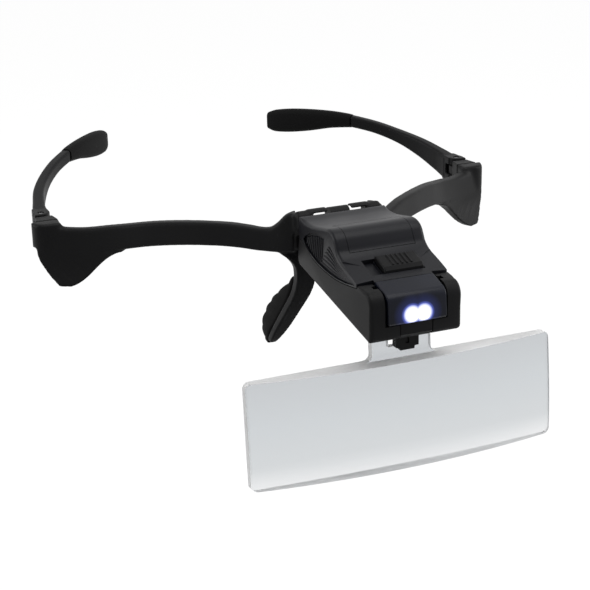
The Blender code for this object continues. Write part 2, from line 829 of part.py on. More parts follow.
def cover_shell():
    rear = PARTING_REAR[0]
    front = PARTING_FRONT[0] + TOUCH
    front_foot = on_line(PARTING_REAR, PARTING_FRONT, front) + TOUCH
    outline = [(rear, PARTING_REAR[1] + TOUCH)]
    outline += cover_profile(0.0)
    outline += [(front, slope_height(front)), (front, front_foot)]
    cover = prism("cover", outline, "X", -HOUSING_HALF, HOUSING_HALF)
    apply(cover, shoulder_prism("shoulders", 0.0), "INTERSECT")
    hollow_front = front + WALL
    hollow = [(rear - WALL, front_foot - PAST)]
    hollow += cover_profile(WALL)
    hollow += [(hollow_front, slope_height(hollow_front) - WALL), (hollow_front, front_foot - PAST)]
    inside = prism("inside", hollow, "X", WALL - HOUSING_HALF, HOUSING_HALF - WALL)
    apply(inside, shoulder_prism("inner_shoulders", WALL), "INTERSECT")
    return cut(cover, inside)


def cover_lip():
    """A thin lip over the lamp head's barrel."""
    back = PARTING_FRONT[0] + WALL
    front = LAMP_PIVOT[0] + LIP_REACH
    top = slope_height(front)
    barrel_top = LAMP_PIVOT[1] + LAMP_BARREL + TOUCH
    low = max(barrel_top, top - WALL)
    outline = [(back, slope_height(back)), (front, top), (front, low), (back, low)]
    return prism("lip", outline, "X", -LAMP_HALF, LAMP_HALF)


def sloped_prism(name, back, front, low, high, left, right):
    """A slab along the slope, between two heights above it."""
    outline = [
        (back, slope_height(back) + high),
        (front, slope_height(front) + high),
        (front, slope_height(front) + low),
        (back, slope_height(back) + low),
    ]
    return prism(name, outline, "X", left, right)


def stem_room(name, low, high):
    """The room that the slider's stem travels in."""
    room = STEM_HALF + TOUCH
    stem = stem_middle()
    middle = (RECESS_FRONT + RECESS_BACK) / 2
    return block(name, (stem - SLIDER_TRAVEL - room, middle - room, low), (stem + room, middle + room, high))


def housing_cover(material, carrier):
    cover = join(cover_shell(), cover_lip())
    cut(cover, door_strip("door_hole", TOUCH, SINK))
    sides = (RECESS_LEFT, RECESS_RIGHT)
    cut(cover, sloped_prism("recess", RECESS_BACK, RECESS_FRONT, -RECESS_DEPTH, PAST, *sides))
    cut(cover, stem_room("stem_slot", BAY_FLOOR, RIDGE[1]))
    roof = slope_height(SCREW_Y) - floor_height(SCREW_Y) - WALL / 2
    for side in (-1, 1):
        join(cover, screw_rod("post", side, SCREW_BOSS + TOUCH, roof, POST_RADIUS))
        cut(cover, screw_rod("pilot", side, 0.0, SCREW_BOSS + SCREW_LENGTH, SCREW_RADIUS + PIN_PLAY))
    return finish(cover, "housing_cover", material, carrier)


def door_strip(name, play, over):
    """The curved panel over the hump, or with some play the hole that it fills, cut past both its faces."""
    rear = DOOR_REAR_Y + play
    top = roof_height(rear)
    foot = DOOR_FOOT_Z - play
    share = (foot - HUMP_FOOT[1]) / (RIDGE_FRONT[1] - HUMP_FOOT[1])
    foot_y = HUMP_FOOT[0] + share * (RIDGE_FRONT[0] - HUMP_FOOT[0])
    under = WALL + over
    outline = [
        (rear, top + over),
        (RIDGE_REAR[0], RIDGE_REAR[1] + over),
        (RIDGE[0] - over, RIDGE[1] + over),
        (RIDGE_FRONT[0] - over * 2, RIDGE_FRONT[1] + over),
        (foot_y - over * 2, foot),
        (foot_y + under, foot),
        (RIDGE_FRONT[0] + under, RIDGE_FRONT[1] - under * 0.5),
        (RIDGE[0] + under * 0.3, RIDGE[1] - under),
        (RIDGE_REAR[0], RIDGE_REAR[1] - under),
        (rear, top - under),
    ]
    half = DOOR_HALF + play
    return prism(name, outline, "X", -half, half)


def battery_door(material, carrier):
    return finish(door_strip("door", 0.0, 0.0), "battery_door", material, carrier)


def cell_pitch():
    return CELL_LENGTH + TOUCH / 2


def cell_rod(name, start, length, radius):
    """A rod on the axis of the cells, from one X."""
    height = cell_height()
    return rod(name, (start, CELL_Y, height), (start + length, CELL_Y, height), radius, CELL_SIDES)


def button_cell(number, name, material, carrier):
    start = cell_pitch() * (number - CELL_COUNT / 2)
    can = cell_rod("can", start, CELL_LENGTH - CELL_STEP, CELL_RADIUS)
    cap = cell_rod("cap", start + CELL_STEP, CELL_LENGTH - CELL_STEP, CELL_RADIUS - CELL_RIM)
    return finish(join(can, cap), name, material, carrier)


def battery_spring(material, carrier):
    """A coil spring between the last cell and the side wall, on a wire that closes at both ends."""
    start = cell_pitch() * CELL_COUNT / 2 + TOUCH + SPRING_WIRE
    end = HOUSING_HALF - WALL - TOUCH - SPRING_WIRE
    per_turn = 12
    sides = 6
    steps = SPRING_TURNS * per_turn
    middle = Vector((0, CELL_Y, cell_height() - SPRING_DROP))
    along = Vector((1, 0, 0))
    rings = []
    for i in range(steps + 1):
        turn = 2 * math.pi * i / per_turn
        outward = Vector((0, math.cos(turn), math.sin(turn)))
        centre = middle + along * (start + (end - start) * i / steps) + outward * SPRING_RADIUS
        angles = [2 * math.pi * k / sides for k in range(sides)]
        rings.append([centre + (outward * math.cos(a) + along * math.sin(a)) * SPRING_WIRE for a in angles])
    return finish(loft("spring", rings), "battery_spring", material, carrier)


def battery_contact(material, carrier):
    """A flat plate at the other end of the cells, with a foot on the floor of the shell."""
    high = -cell_pitch() * CELL_COUNT / 2 - TOUCH
    low = high - CONTACT_THICK
    front = CELL_Y - CONTACT_HALF
    back = CELL_Y + CONTACT_HALF
    foot = floor_height(back) + FLOOR + TOUCH
    plate = block("plate", (low, front, foot), (high, back, cell_height() + CONTACT_RISE))
    toe = block("toe", (WALL + TOUCH - HOUSING_HALF, front, foot), (high, back, foot + CONTACT_THICK))
    return finish(join(plate, toe), "battery_contact", material, carrier)


def circuit_board(material, carrier):
    front = BAY_BACK + BOARD_GAP
    back = front + BOARD_LENGTH
    lift = FLOOR + TOUCH
    outline = [
        (front, floor_height(front) + lift),
        (back, floor_height(back) + lift),
        (back, floor_height(back) + lift + BOARD_THICK),
        (front, floor_height(front) + lift + BOARD_THICK),
    ]
    return finish(prism("board", outline, "X", -BOARD_HALF, BOARD_HALF), "circuit_board", material, carrier)


def stem_middle():
    """X of the slider's middle with the lamp switched on, at the wearer's left end of its recess."""
    return RECESS_RIGHT - TOUCH - SLIDER_LENGTH / 2


def switch_slider(material, carrier):
    front = RECESS_FRONT + TOUCH
    back = RECESS_BACK - TOUCH
    low = TOUCH - RECESS_DEPTH
    outline = [
        (front, slope_height(front) + low),
        (back, slope_height(back) + low),
        (back, slope_height(back) + SLIDER_RISE - SLIDER_EDGE / 2),
        (back - SLIDER_EDGE, slope_height(back - SLIDER_EDGE) + SLIDER_RISE),
        (front + SLIDER_EDGE, slope_height(front + SLIDER_EDGE) + SLIDER_RISE),
        (front, slope_height(front) + SLIDER_RISE - SLIDER_EDGE),
    ]
    middle = stem_middle()
    half = SLIDER_LENGTH / 2
    slider = prism("slider", outline, "X", middle - half, middle + half)
    centre = (RECESS_FRONT + RECESS_BACK) / 2
    top = slope_height(centre)
    stem = block(
        "stem",
        (middle - STEM_HALF, centre - STEM_HALF, top - WALL - TOUCH - STEM_REACH),
        (middle + STEM_HALF, centre + STEM_HALF, top + SLIDER_RISE / 2),
    )
    return finish(join(slider, stem), "switch_slider", material, carrier)


def switch_body(material, carrier):
    """The switch under the slope, with a slot for the slider's stem."""
    front = RECESS_FRONT + SWITCH_INSET
    back = RECESS_BACK - SWITCH_INSET
    drop = WALL + TOUCH
    middle = stem_middle() - SLIDER_TRAVEL / 2
    sides = (middle - SWITCH_HALF, middle + SWITCH_HALF)
    case = sloped_prism("case", back, front, -drop - SWITCH_HEIGHT, -drop, *sides)
    floor = slope_height((RECESS_FRONT + RECESS_BACK) / 2) - drop - STEM_REACH - TOUCH
    cut(case, stem_room("slot", floor, RIDGE[1]))
    return finish(case, "switch_body", material, carrier)


def lamp_head(material, carrier):
    outline = arc(LAMP_PIVOT, LAMP_BARREL, 260, 450, 17)
    outline += [LAMP_BEND, LAMP_CHIN, LAMP_HEEL]
    head = prism("head", outline, "X", -LAMP_HALF, LAMP_HALF)
    join(head, lamp_rod("pins", LAMP_HALF + LAMP_PIN_LENGTH, LAMP_PIN_RADIUS))
    for x in (-LED_SPACING / 2, LED_SPACING / 2):
        back = (x, LED_BACK + TOUCH, LED_Z)
        cut(head, rod("bore", back, (x, LED_FRONT - PAST, LED_Z), LED_RADIUS + PIN_PLAY / 2))
    return finish(head, "lamp_head", material, carrier)


def led(x, name, material, carrier):
    """A round lamp with a domed front."""
    dome_start = LED_FRONT + LED_RADIUS
    stations = [(LED_BACK, LED_RADIUS)]
    for lift in range(0, 90, 18):
        angle = math.radians(lift)
        stations.append((dome_start - LED_RADIUS * math.sin(angle), LED_RADIUS * math.cos(angle)))
    turns = [2 * math.pi * k / LED_SIDES for k in range(LED_SIDES)]
    rings = []
    for y, radius in stations:
        rings.append([Vector((x + radius * math.cos(a), y, LED_Z + radius * math.sin(a))) for a in turns])
    return finish(loft("lamp", rings), name, material, carrier)


def lens_latch(material, carrier):
    """A sprung tongue that hangs from the lamp bay's floor in the gap between the legs of the lens."""
    seat = BAY_FLOOR + TOUCH
    flange = LATCH_HALF + LATCH_FLANGE
    half = [(flange, seat + LATCH_FLANGE_HEIGHT), (flange, seat), (LATCH_HALF, seat)]
    half += [(LATCH_HALF - inset, LATCH_FOOT + rise) for inset, rise in LATCH_STEPS]
    outline = half + [(-x, z) for x, z in reversed(half)]
    plate = prism("latch", outline, "Y", LATCH_FRONT, LATCH_BACK)
    groove = block(
        "groove",
        (-LATCH_GROOVE_HALF, LATCH_FRONT - PAST, LATCH_FOOT + LATCH_GROOVE_FOOT),
        (LATCH_GROOVE_HALF, LATCH_FRONT + LATCH_GROOVE_DEPTH, floor_height(LATCH_FRONT)),
    )
    return finish(cut(plate, groove), "lens_latch", material, carrier)


def lens_outline():
    """Half-width and height pairs round the plate, from one top corner over the bottom and back."""
    half = LENS_WIDTH / 2
    corner = LENS_CORNER
    points = []
    for x, z, start in (
        (half - corner, -corner, 0),
        (corner - half, -corner, 90),
        (corner - half, corner - LENS_HEIGHT, 180),
        (half - corner, corner - LENS_HEIGHT, 270),
    ):
        points += arc((x, z), corner, start, start + 90, 4)
    return points


def crown(x, z):
    """How far the front of the lens bulges at a place, on a sphere through the four corners."""
    half = LENS_WIDTH / 2
    span = (x / half) ** 2
    rise = ((z + LENS_HEIGHT / 2) / half) ** 2
    corner = 1 + (LENS_HEIGHT / LENS_WIDTH) ** 2
    return LENS_CROWN * max(0.0, corner - span - rise)


def lens(material, carrier):
    work = bmesh.new()
    half = LENS_WIDTH / 2
    front = []
    back = []
    for i in range(LENS_COLUMNS + 1):
        x = -half + LENS_WIDTH * i / LENS_COLUMNS
        heights = [-LENS_HEIGHT * k / LENS_ROWS for k in range(LENS_ROWS + 1)]
        front.append([work.verts.new((x, -LENS_EDGE - crown(x, z), z)) for z in heights])
        back.append([work.verts.new((x, 0, z)) for z in heights])
    for i in range(LENS_COLUMNS):
        for k in range(LENS_ROWS):
            work.faces.new((front[i][k], front[i][k + 1], front[i + 1][k + 1], front[i + 1][k]))
            work.faces.new((back[i][k], back[i + 1][k], back[i + 1][k + 1], back[i][k + 1]))
        for k in (0, LENS_ROWS):
            work.faces.new((front[i][k], front[i + 1][k], back[i + 1][k], back[i][k]))
    for k in range(LENS_ROWS):
        for i in (0, LENS_COLUMNS):
            work.faces.new((front[i][k], front[i][k + 1], back[i][k + 1], back[i][k]))
    plate = body_from("plate", work)
    deep = LENS_EDGE + 3 * LENS_CROWN
    apply(plate, prism("rounding", lens_outline(), "Y", -deep, deep), "INTERSECT")
    join(plate, lens_tab())
    return finish(in_lens_frame(plate), "lens", material, carrier)


def lens_tab():
    flare = arc((TAB_HALF + TAB_FLARE, TAB_FLARE), TAB_FLARE, 270, 180, 5)
    outline = [(-x, z) for x, z in flare]
    outline += [(-TAB_HALF, TAB_RISE), (-NOTCH_HALF, TAB_RISE), (-NOTCH_HALF, NOTCH_FOOT)]
    outline += [(NOTCH_HALF, NOTCH_FOOT), (NOTCH_HALF, TAB_RISE), (TAB_HALF, TAB_RISE)]
    outline += list(reversed(flare))
    sink = -LENS_CORNER
    outline += [(TAB_HALF + TAB_FLARE, sink), (-TAB_HALF - TAB_FLARE, sink)]
    return prism("tab", outline, "Y", -TAB_THICK, 0.0)


def build():
    clear_scene()
    black = plastic("black_abs", (0.012, 0.012, 0.013), 0.38)
    dark = plastic("black_gloss_abs", (0.014, 0.014, 0.018), 0.25)
    rubber = plastic("black_rubber", (0.010, 0.010, 0.010), 0.75)
    steel = plastic("steel", (0.55, 0.55, 0.56), 0.3, 1.0)
    brass = plastic("nickel_plate", (0.62, 0.60, 0.55), 0.3, 1.0)
    green = plastic("circuit_board_green", (0.02, 0.16, 0.06), 0.45)
    acrylic = plastic("clear_acrylic", (0.96, 0.97, 0.97), 0.03, 0.0, 1.0)
    glow = plastic("lamp_epoxy", (0.95, 0.96, 1.0), 0.1, 0.0, 0.6)

    front_frame(black)
    for side, word in ((-1, "right"), (1, "left")):
        nose_pad(side, f"nose_pad_{word}", rubber)
        hinge_block(side, f"hinge_block_{word}", black)
        temple_pin(side, f"temple_pin_{word}", steel)
        fold = joint_empty(f"temple_fold_{word}", (side * TEMPLE_PIVOT_X, TEMPLE_PIVOT_Y, 0))
        temple_arm(side, f"temple_arm_{word}", black, fold)
        temple_tip(side, f"temple_tip_{word}", rubber, fold)

    tilt_hinge_pin(steel)
    tilt = joint_empty("housing_tilt", (0, HINGE_Y, HINGE_Z))
    housing_tray(black, tilt)
    housing_cover(dark, tilt)
    battery_door(dark, tilt)
    for number in range(CELL_COUNT):
        button_cell(number, f"button_cell_{number + 1}", steel, tilt)
    battery_spring(steel, tilt)
    battery_contact(brass, tilt)
    circuit_board(green, tilt)
    switch_body(black, tilt)
    switch_slider(black, tilt)
    lens_latch(black, tilt)
    lens(acrylic, tilt)
    nod = joint_empty("lamp_tilt", (0, *LAMP_PIVOT))
    lamp_head(dark, nod)
    for side, word in ((-1, "right"), (1, "left")):
        led(side * LED_SPACING / 2, f"led_{word}", glow, nod)
        tray_screw(side, f"tray_screw_{word}", steel, tilt)


build()
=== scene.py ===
# %% [markdown]
# A pair of magnifying glasses: a black brow frame with folding temples, a flip-up lamp housing on the
# bridge, and an oblong acrylic lens clipped below it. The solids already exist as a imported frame. This
# lesson gives every piece its moulded shape and finish, lights it and looks at it.

# %% Load the frame
import json
import math

import bmesh
import bpy
from mathutils import Matrix, Vector


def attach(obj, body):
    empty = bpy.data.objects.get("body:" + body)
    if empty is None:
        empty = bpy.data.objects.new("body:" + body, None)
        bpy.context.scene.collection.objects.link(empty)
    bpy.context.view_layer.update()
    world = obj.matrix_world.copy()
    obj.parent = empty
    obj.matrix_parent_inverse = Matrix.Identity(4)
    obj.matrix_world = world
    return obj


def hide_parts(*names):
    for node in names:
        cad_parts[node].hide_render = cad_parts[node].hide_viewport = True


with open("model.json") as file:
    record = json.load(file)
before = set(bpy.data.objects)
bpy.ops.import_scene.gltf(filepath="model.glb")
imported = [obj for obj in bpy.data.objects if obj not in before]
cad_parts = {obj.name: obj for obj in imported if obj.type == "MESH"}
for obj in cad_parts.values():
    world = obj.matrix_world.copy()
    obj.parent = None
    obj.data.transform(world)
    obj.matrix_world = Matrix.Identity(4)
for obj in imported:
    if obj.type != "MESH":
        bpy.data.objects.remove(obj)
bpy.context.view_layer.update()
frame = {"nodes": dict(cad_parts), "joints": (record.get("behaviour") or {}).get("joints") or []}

# %% [markdown]
# All sizes below are millimetres, as on the maker's drawing, and meshes are scaled to metres once, when
# they become objects. Colours are written as they look on screen, and Blender wants them linear.

# %% Units, colours and one helper for nodes
MM = 0.001


def from_hex(text, alpha=1.0):
    channels = [int(text[i : i + 2], 16) / 255 for i in (1, 3, 5)]
    linear = [c / 12.92 if c <= 0.04045 else ((c + 0.055) / 1.055) ** 2.4 for c in channels]
    return (*linear, alpha)


def add_node(tree, kind, values=None, links=None, **settings):
    """A new node with its settings, its socket values and the sockets that feed it."""
    made = tree.nodes.new(kind)
    for name, value in settings.items():
        setattr(made, name, value)
    for name, value in (values or {}).items():
        made.inputs[name].default_value = value
    for name, source in (links or {}).items():
        tree.links.new(source, made.inputs[name])
    return made


def new_material(name):
    made = bpy.data.materials.new(name)
    made.use_nodes = True
    return made, made.node_tree, made.node_tree.nodes["Principled BSDF"]


def per_metre(size_mm):
    """Scale of a texture whose features are about this many millimetres wide."""
    return 1 / (size_mm * MM)


print("black plastic looks like", [round(c, 4) for c in from_hex("#0f0f10")])

# %% [markdown]
# Most of the object is ABS, moulded against a spark-eroded tool, which leaves a fine satin grain. The
# grain is really about 0.1 mm wide. Here it is drawn 0.45 mm wide, so that it shows at all. A slow second
# noise makes the sheen uneven, as hands and handling do. An image could give the same, but a noise has no
# seams and needs no unwrapping.

# %% Plastics and rubber
ABS_IOR = 1.53
CLOUD_MM = 14
GRAIN_HEIGHT = 0.05
SATIN_GRAIN = {"spread": 0.06, "grain_mm": 0.45, "grain_depth": 0.35, "specular": 0.09}
POLISHED_GRAIN = {"spread": 0.05, "grain_mm": 0.9, "grain_depth": 0.10, "specular": 0.14}
RUBBER_GRAIN = {"spread": 0.06, "grain_mm": 0.6, "grain_depth": 0.5, "specular": 0.06}


def moulded(name, dark, light, roughness, spread, grain_mm, grain_depth, specular):
    """A black moulded polymer: two near tones, an uneven sheen and a fine moulded grain."""
    made, tree, shader = new_material(name)
    place = add_node(tree, "ShaderNodeTexCoord").outputs["Object"]
    slow = {"Scale": per_metre(CLOUD_MM), "Detail": 3.0}
    cloud = add_node(tree, "ShaderNodeTexNoise", slow, {"Vector": place}).outputs["Fac"]
    tones = {"A": from_hex(dark), "B": from_hex(light)}
    tone = add_node(tree, "ShaderNodeMix", tones, {"Factor": cloud}, data_type="RGBA")
    tree.links.new(tone.outputs["Result"], shader.inputs["Base Color"])
    span = {"To Min": roughness - spread, "To Max": roughness + spread}
    sheen = add_node(tree, "ShaderNodeMapRange", span, {"Value": cloud})
    tree.links.new(sheen.outputs["Result"], shader.inputs["Roughness"])
    fine = {"Scale": per_metre(grain_mm), "Detail": 2.0}
    grain = add_node(tree, "ShaderNodeTexNoise", fine, {"Vector": place}).outputs["Fac"]
    relief = {"Strength": grain_depth, "Distance": GRAIN_HEIGHT * MM}
    bump = add_node(tree, "ShaderNodeBump", relief, {"Height": grain})
    tree.links.new(bump.outputs["Normal"], shader.inputs["Normal"])
    shader.inputs["IOR"].default_value = ABS_IOR
    shader.inputs["Specular IOR Level"].default_value = specular
    return made


# Satin plastic gives the eye a deep black with broad and dim highlights.
satin_abs = moulded("satin_moulded_abs", "#0a0a0b", "#101011", 0.46, **SATIN_GRAIN)
# Polished plastic is as dark, with tighter and brighter highlights.
polished_abs = moulded("polished_moulded_abs", "#0b0b0f", "#121319", 0.38, **POLISHED_GRAIN)
# Rubber hardly shines, so only its outline and its scallops show.
soft_rubber = moulded("moulded_black_rubber", "#080808", "#0e0e0e", 0.66, **RUBBER_GRAIN)
print("plastics:", satin_abs.name, polished_abs.name, soft_rubber.name)

# %% [markdown]
# The pins and cells are drawn steel, which has fine lines along its length, and the battery contact is a
# strip of nickel-plated spring steel. The circuit board has green solder resist over copper tracks. They
# only show when the housing is open. The lines are one noise, stretched along the piece.

# %% Metals and the circuit board
LINE_STRETCH = (0.05, 1.0, 1.0)
POLISH_SPREAD = 0.08
TRACK_MM = 8
TRACK_EDGE = 0.72


def drawn_metal(name, colour, roughness, line_mm):
    """A metal whose drawn lines break its glints up along its length."""
    made, tree, shader = new_material(name)
    place = add_node(tree, "ShaderNodeTexCoord").outputs["Object"]
    stretch = add_node(tree, "ShaderNodeMapping", {"Scale": LINE_STRETCH}, {"Vector": place})
    fine = {"Scale": per_metre(line_mm), "Detail": 2.0}
    lines = add_node(tree, "ShaderNodeTexNoise", fine, {"Vector": stretch.outputs["Vector"]})
    span = {"To Min": roughness - POLISH_SPREAD, "To Max": roughness + POLISH_SPREAD}
    polish = add_node(tree, "ShaderNodeMapRange", span, {"Value": lines.outputs["Fac"]})
    tree.links.new(polish.outputs["Result"], shader.inputs["Roughness"])
    shader.inputs["Base Color"].default_value = from_hex(colour)
    shader.inputs["Metallic"].default_value = 1.0
    return made


def solder_resist():
    """Dark green lacquer, paler over the tracks that lie under it."""
    made, tree, shader = new_material("green_solder_resist")
    place = add_node(tree, "ShaderNodeTexCoord").outputs["Object"]
    layout = {"Scale": per_metre(TRACK_MM), "Distortion": 1.5}
    tracks = add_node(tree, "ShaderNodeTexWave", layout, {"Vector": place}).outputs["Fac"]
    step = add_node(tree, "ShaderNodeMath", {1: TRACK_EDGE}, {0: tracks}, operation="GREATER_THAN")
    tones = {"A": from_hex("#0f4a24"), "B": from_hex("#2c7a3f")}
    tone = add_node(tree, "ShaderNodeMix", tones, {"Factor": step.outputs[0]}, data_type="RGBA")
    tree.links.new(tone.outputs["Result"], shader.inputs["Base Color"])
    shader.inputs["Roughness"].default_value = 0.35
    return made


steel = drawn_metal("drawn_steel", "#b9babd", 0.30, 0.3)
blackened_steel = drawn_metal("blackened_steel", "#1c1c1e", 0.38, 0.3)
nickel = drawn_metal("nickel_plated_strip", "#c9c4b6", 0.24, 0.4)
board_green = solder_resist()
print("metals:", steel.name, blackened_steel.name, nickel.name)

# %% [markdown]
# The lens is cast acrylic: clear, with polished faces and an index of 1.49. It takes a little light, so
# on a white ground it reads as pale grey. Its tint also carries painted shade, darker towards the top and
# paler towards the lower rim. Its edges are sawn, so they are milky. The lamps are round epoxy lamps, shown
# lit: white, with a blue-violet spill on the plastic around. The spill is drawn as a glow that fades with
# the distance from the nearer lamp's axis, because real light from the lamps would take many more samples
# to look smooth.

# %% Clear acrylic
ACRYLIC_IOR = 1.49
HAZE_MM = 30
SAW_MM = 2.5
LENS_Z = (-26.0, -58.0)
# A pale grey tint with painted shade: darker at the top of the lens and paler at its lower rim.
LENS_TINT_AND_SHADE = [(0.0, "#c2c5c8"), (0.4, "#c9cdd0"), (0.8, "#cfd2d4"), (1.0, "#e8e9ea")]


def blended(tree, factor, stops):
    """A colour that runs through a few stops as a factor goes from 0 to 1."""
    ramp = add_node(tree, "ShaderNodeValToRGB", links={"Fac": factor})
    steps = ramp.color_ramp.elements
    while len(steps) < len(stops):
        steps.new(0.5)
    for step, (place, colour) in zip(steps, stops):
        step.position = place
        step.color = from_hex(colour)
    return ramp.outputs["Color"]


def cast_acrylic():
    """The lens's faces: clear and polished, with a slight haze, and a grey tint with painted shade, darker
    towards the top.
    """
    made, tree, shader = new_material("clear_cast_acrylic")
    place = add_node(tree, "ShaderNodeTexCoord").outputs["Object"]
    slow = {"Scale": per_metre(HAZE_MM), "Detail": 4.0}
    haze = add_node(tree, "ShaderNodeTexNoise", slow, {"Vector": place}).outputs["Fac"]
    polish = add_node(tree, "ShaderNodeMapRange", {"To Min": 0.0, "To Max": 0.03}, {"Value": haze})
    tree.links.new(polish.outputs["Result"], shader.inputs["Roughness"])
    height = add_node(tree, "ShaderNodeSeparateXYZ", links={"Vector": place}).outputs["Z"]
    span = {"From Min": LENS_Z[0] * MM, "From Max": LENS_Z[1] * MM}
    low = add_node(tree, "ShaderNodeMapRange", span, {"Value": height}).outputs["Result"]
    # The tint that changes with height is painted shade.
    tree.links.new(blended(tree, low, LENS_TINT_AND_SHADE), shader.inputs["Base Color"])
    shader.inputs["Transmission Weight"].default_value = 1.0
    shader.inputs["IOR"].default_value = ACRYLIC_IOR
    return made


def sawn_acrylic():
    """The lens's edge: saw marks scatter the light, so it is milky instead of clear."""
    made, tree, shader = new_material("sawn_acrylic_edge")
    place = add_node(tree, "ShaderNodeTexCoord").outputs["Object"]
    coarse = {"Scale": per_metre(SAW_MM), "Detail": 3.0}
    marks = add_node(tree, "ShaderNodeTexNoise", coarse, {"Vector": place}).outputs["Fac"]
    rough = add_node(tree, "ShaderNodeMapRange", {"To Min": 0.25, "To Max": 0.55}, {"Value": marks})
    tree.links.new(rough.outputs["Result"], shader.inputs["Roughness"])
    shader.inputs["Base Color"].default_value = from_hex("#fcfcfc")
    shader.inputs["Transmission Weight"].default_value = 0.25
    shader.inputs["IOR"].default_value = ACRYLIC_IOR
    return made


acrylic = cast_acrylic()
lens_edge = sawn_acrylic()
print("clear parts:", acrylic.name, lens_edge.name)

# %% The lit lamps
LED_CENTRES = [(-1.85, -7.8), (1.85, -7.8)]
LED_RADIUS = 1.75
LED_RIM = 0.8
LED_STRENGTH = 5.0
HALO_REACH = 6.0
HALO_LIFT = 0.15
HALO = [(0.36, "#ffffff"), (0.42, "#b9c2fa"), (0.48, "#4f5cb4"), (0.58, "#1a2047"), (1.0, "#000000")]


def lamp_distance(tree, lift):
    """Distance of a place from the axis of the nearer lamp, or from a line a little above that axis."""
    place = add_node(tree, "ShaderNodeTexCoord").outputs["Object"]
    parts = add_node(tree, "ShaderNodeSeparateXYZ", links={"Vector": place}).outputs
    side = add_node(tree, "ShaderNodeMath", links={0: parts["X"]}, operation="ABSOLUTE").outputs[0]
    x, z = LED_CENTRES[1]
    along = add_node(tree, "ShaderNodeMath", {1: x * MM}, {0: side}, operation="SUBTRACT")
    up = add_node(tree, "ShaderNodeMath", {1: (z + lift) * MM}, {0: parts["Z"]}, operation="SUBTRACT")
    flat = add_node(tree, "ShaderNodeCombineXYZ", links={"X": along.outputs[0], "Y": up.outputs[0]})
    far = add_node(tree, "ShaderNodeVectorMath", links={0: flat.outputs["Vector"]}, operation="LENGTH")
    return far.outputs["Value"]


def lit_epoxy():
    """White at the axis of the lamp and a little blue at its rim."""
    made, tree, shader = new_material("lit_lamp_epoxy")
    span = {"From Min": LED_RIM * LED_RADIUS * MM, "From Max": LED_RADIUS * MM}
    rim = add_node(tree, "ShaderNodeMapRange", span, {"Value": lamp_distance(tree, 0.0)})
    tones = {"A": from_hex("#ffffff"), "B": from_hex("#e3e7ff")}
    tone = add_node(tree, "ShaderNodeMix", tones, {"Factor": rim.outputs["Result"]}, data_type="RGBA")
    tree.links.new(tone.outputs["Result"], shader.inputs["Emission Color"])
    shader.inputs["Emission Strength"].default_value = LED_STRENGTH
    shader.inputs["Base Color"].default_value = from_hex("#e8ebff")
    shader.inputs["Roughness"].default_value = 0.1
    return made


def lit_plastic():
    """The lamp head's polished plastic, with the light that the lamps spill on it."""
    made = moulded("lamp_lit_polished_abs", "#0b0c14", "#131724", 0.34, **POLISHED_GRAIN)
    tree = made.node_tree
    far = lamp_distance(tree, HALO_LIFT)
    reach = add_node(tree, "ShaderNodeMath", {1: HALO_REACH * MM}, {0: far}, operation="DIVIDE")
    shader = tree.nodes["Principled BSDF"]
    tree.links.new(blended(tree, reach.outputs[0], HALO), shader.inputs["Emission Color"])
    shader.inputs["Emission Strength"].default_value = 1.0
    return made


lamp_glow = lit_epoxy()
lamp_plastic = lit_plastic()
print("lamp parts:", lamp_glow.name, lamp_plastic.name)

# %% [markdown]
# Every piece below is made from a few mesh tools: rings of points joined into a skin, an outline pushed
# along an axis, and cuts. A piece then rides on its body and stands for the plain solid in its place.

# %% Mesh tools


def skin(work, rings):
    """Adds a closed skin through rings of points to a bmesh."""
    rows = [[work.verts.new(point) for point in ring] for ring in rings]
    count = len(rows[0])
    for row, following in zip(rows, rows[1:]):
        for i in range(count):
            j = (i + 1) % count
            work.faces.new((row[i], row[j], following[j], following[i]))
    work.faces.new(list(reversed(rows[0])))
    work.faces.new(rows[-1])


def to_object(name, work):
    bmesh.ops.recalc_face_normals(work, faces=work.faces[:])
    bmesh.ops.scale(work, vec=(MM, MM, MM), verts=work.verts[:])
    mesh = bpy.data.meshes.new(name)
    work.to_mesh(mesh)
    work.free()
    made = bpy.data.objects.new(name, mesh)
    bpy.context.scene.collection.objects.link(made)
    return made


def solid(name, *skins):
    """One object from several skins, each a list of rings."""
    work = bmesh.new()
    for rings in skins:
        skin(work, rings)
    return to_object(name, work)


print("skins and solids can be made")

# %% Cutting, melting and finishing


def bake(target):
    """Turns an object's modifiers into its own mesh."""
    bpy.context.view_layer.update()
    graph = bpy.context.evaluated_depsgraph_get()
    result = bpy.data.meshes.new_from_object(target.evaluated_get(graph))
    target.modifiers.clear()
    target.data = result
    return target


def boolean(target, tool, operation):
    step = target.modifiers.new(operation, "BOOLEAN")
    step.operation = operation
    step.solver = "EXACT"
    step.object = tool
    bake(target)
    bpy.data.objects.remove(tool, do_unlink=True)
    return target


def cut(target, *tools):
    for tool in tools:
        boolean(target, tool, "DIFFERENCE")
    return target


def join(target, *tools):
    for tool in tools:
        boolean(target, tool, "UNION")
    return target


def mould(target, voxel, passes):
    """Melts overlapping skins into one moulded body with soft inside and outside corners."""
    melt = target.modifiers.new("melt", "REMESH")
    melt.mode = "VOXEL"
    melt.voxel_size = voxel * MM
    ease = target.modifiers.new("ease", "SMOOTH")
    ease.factor = 0.5
    ease.iterations = passes
    return bake(target)


def dress(target, material, body, replaced, sharp=30):
    """Finishes a piece: smooth shading, its material, its body and the solids that it stands for."""
    target.data.materials.clear()
    target.data.materials.append(material)
    target.data.shade_smooth()
    target.data.set_sharp_from_angle(angle=math.radians(sharp))
    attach(target, body)
    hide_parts(*replaced)
    print(target.name, "has", len(target.data.polygons), "faces and rides on", body)
    return target


print("pieces can be cut, melted and dressed")

# %% [markdown]
# Rings come from stations: a few measured sections along a path, with a smooth curve between them. A
# curve object with a bevel would give one section all along, and here the section changes.

# %% Paths and sections


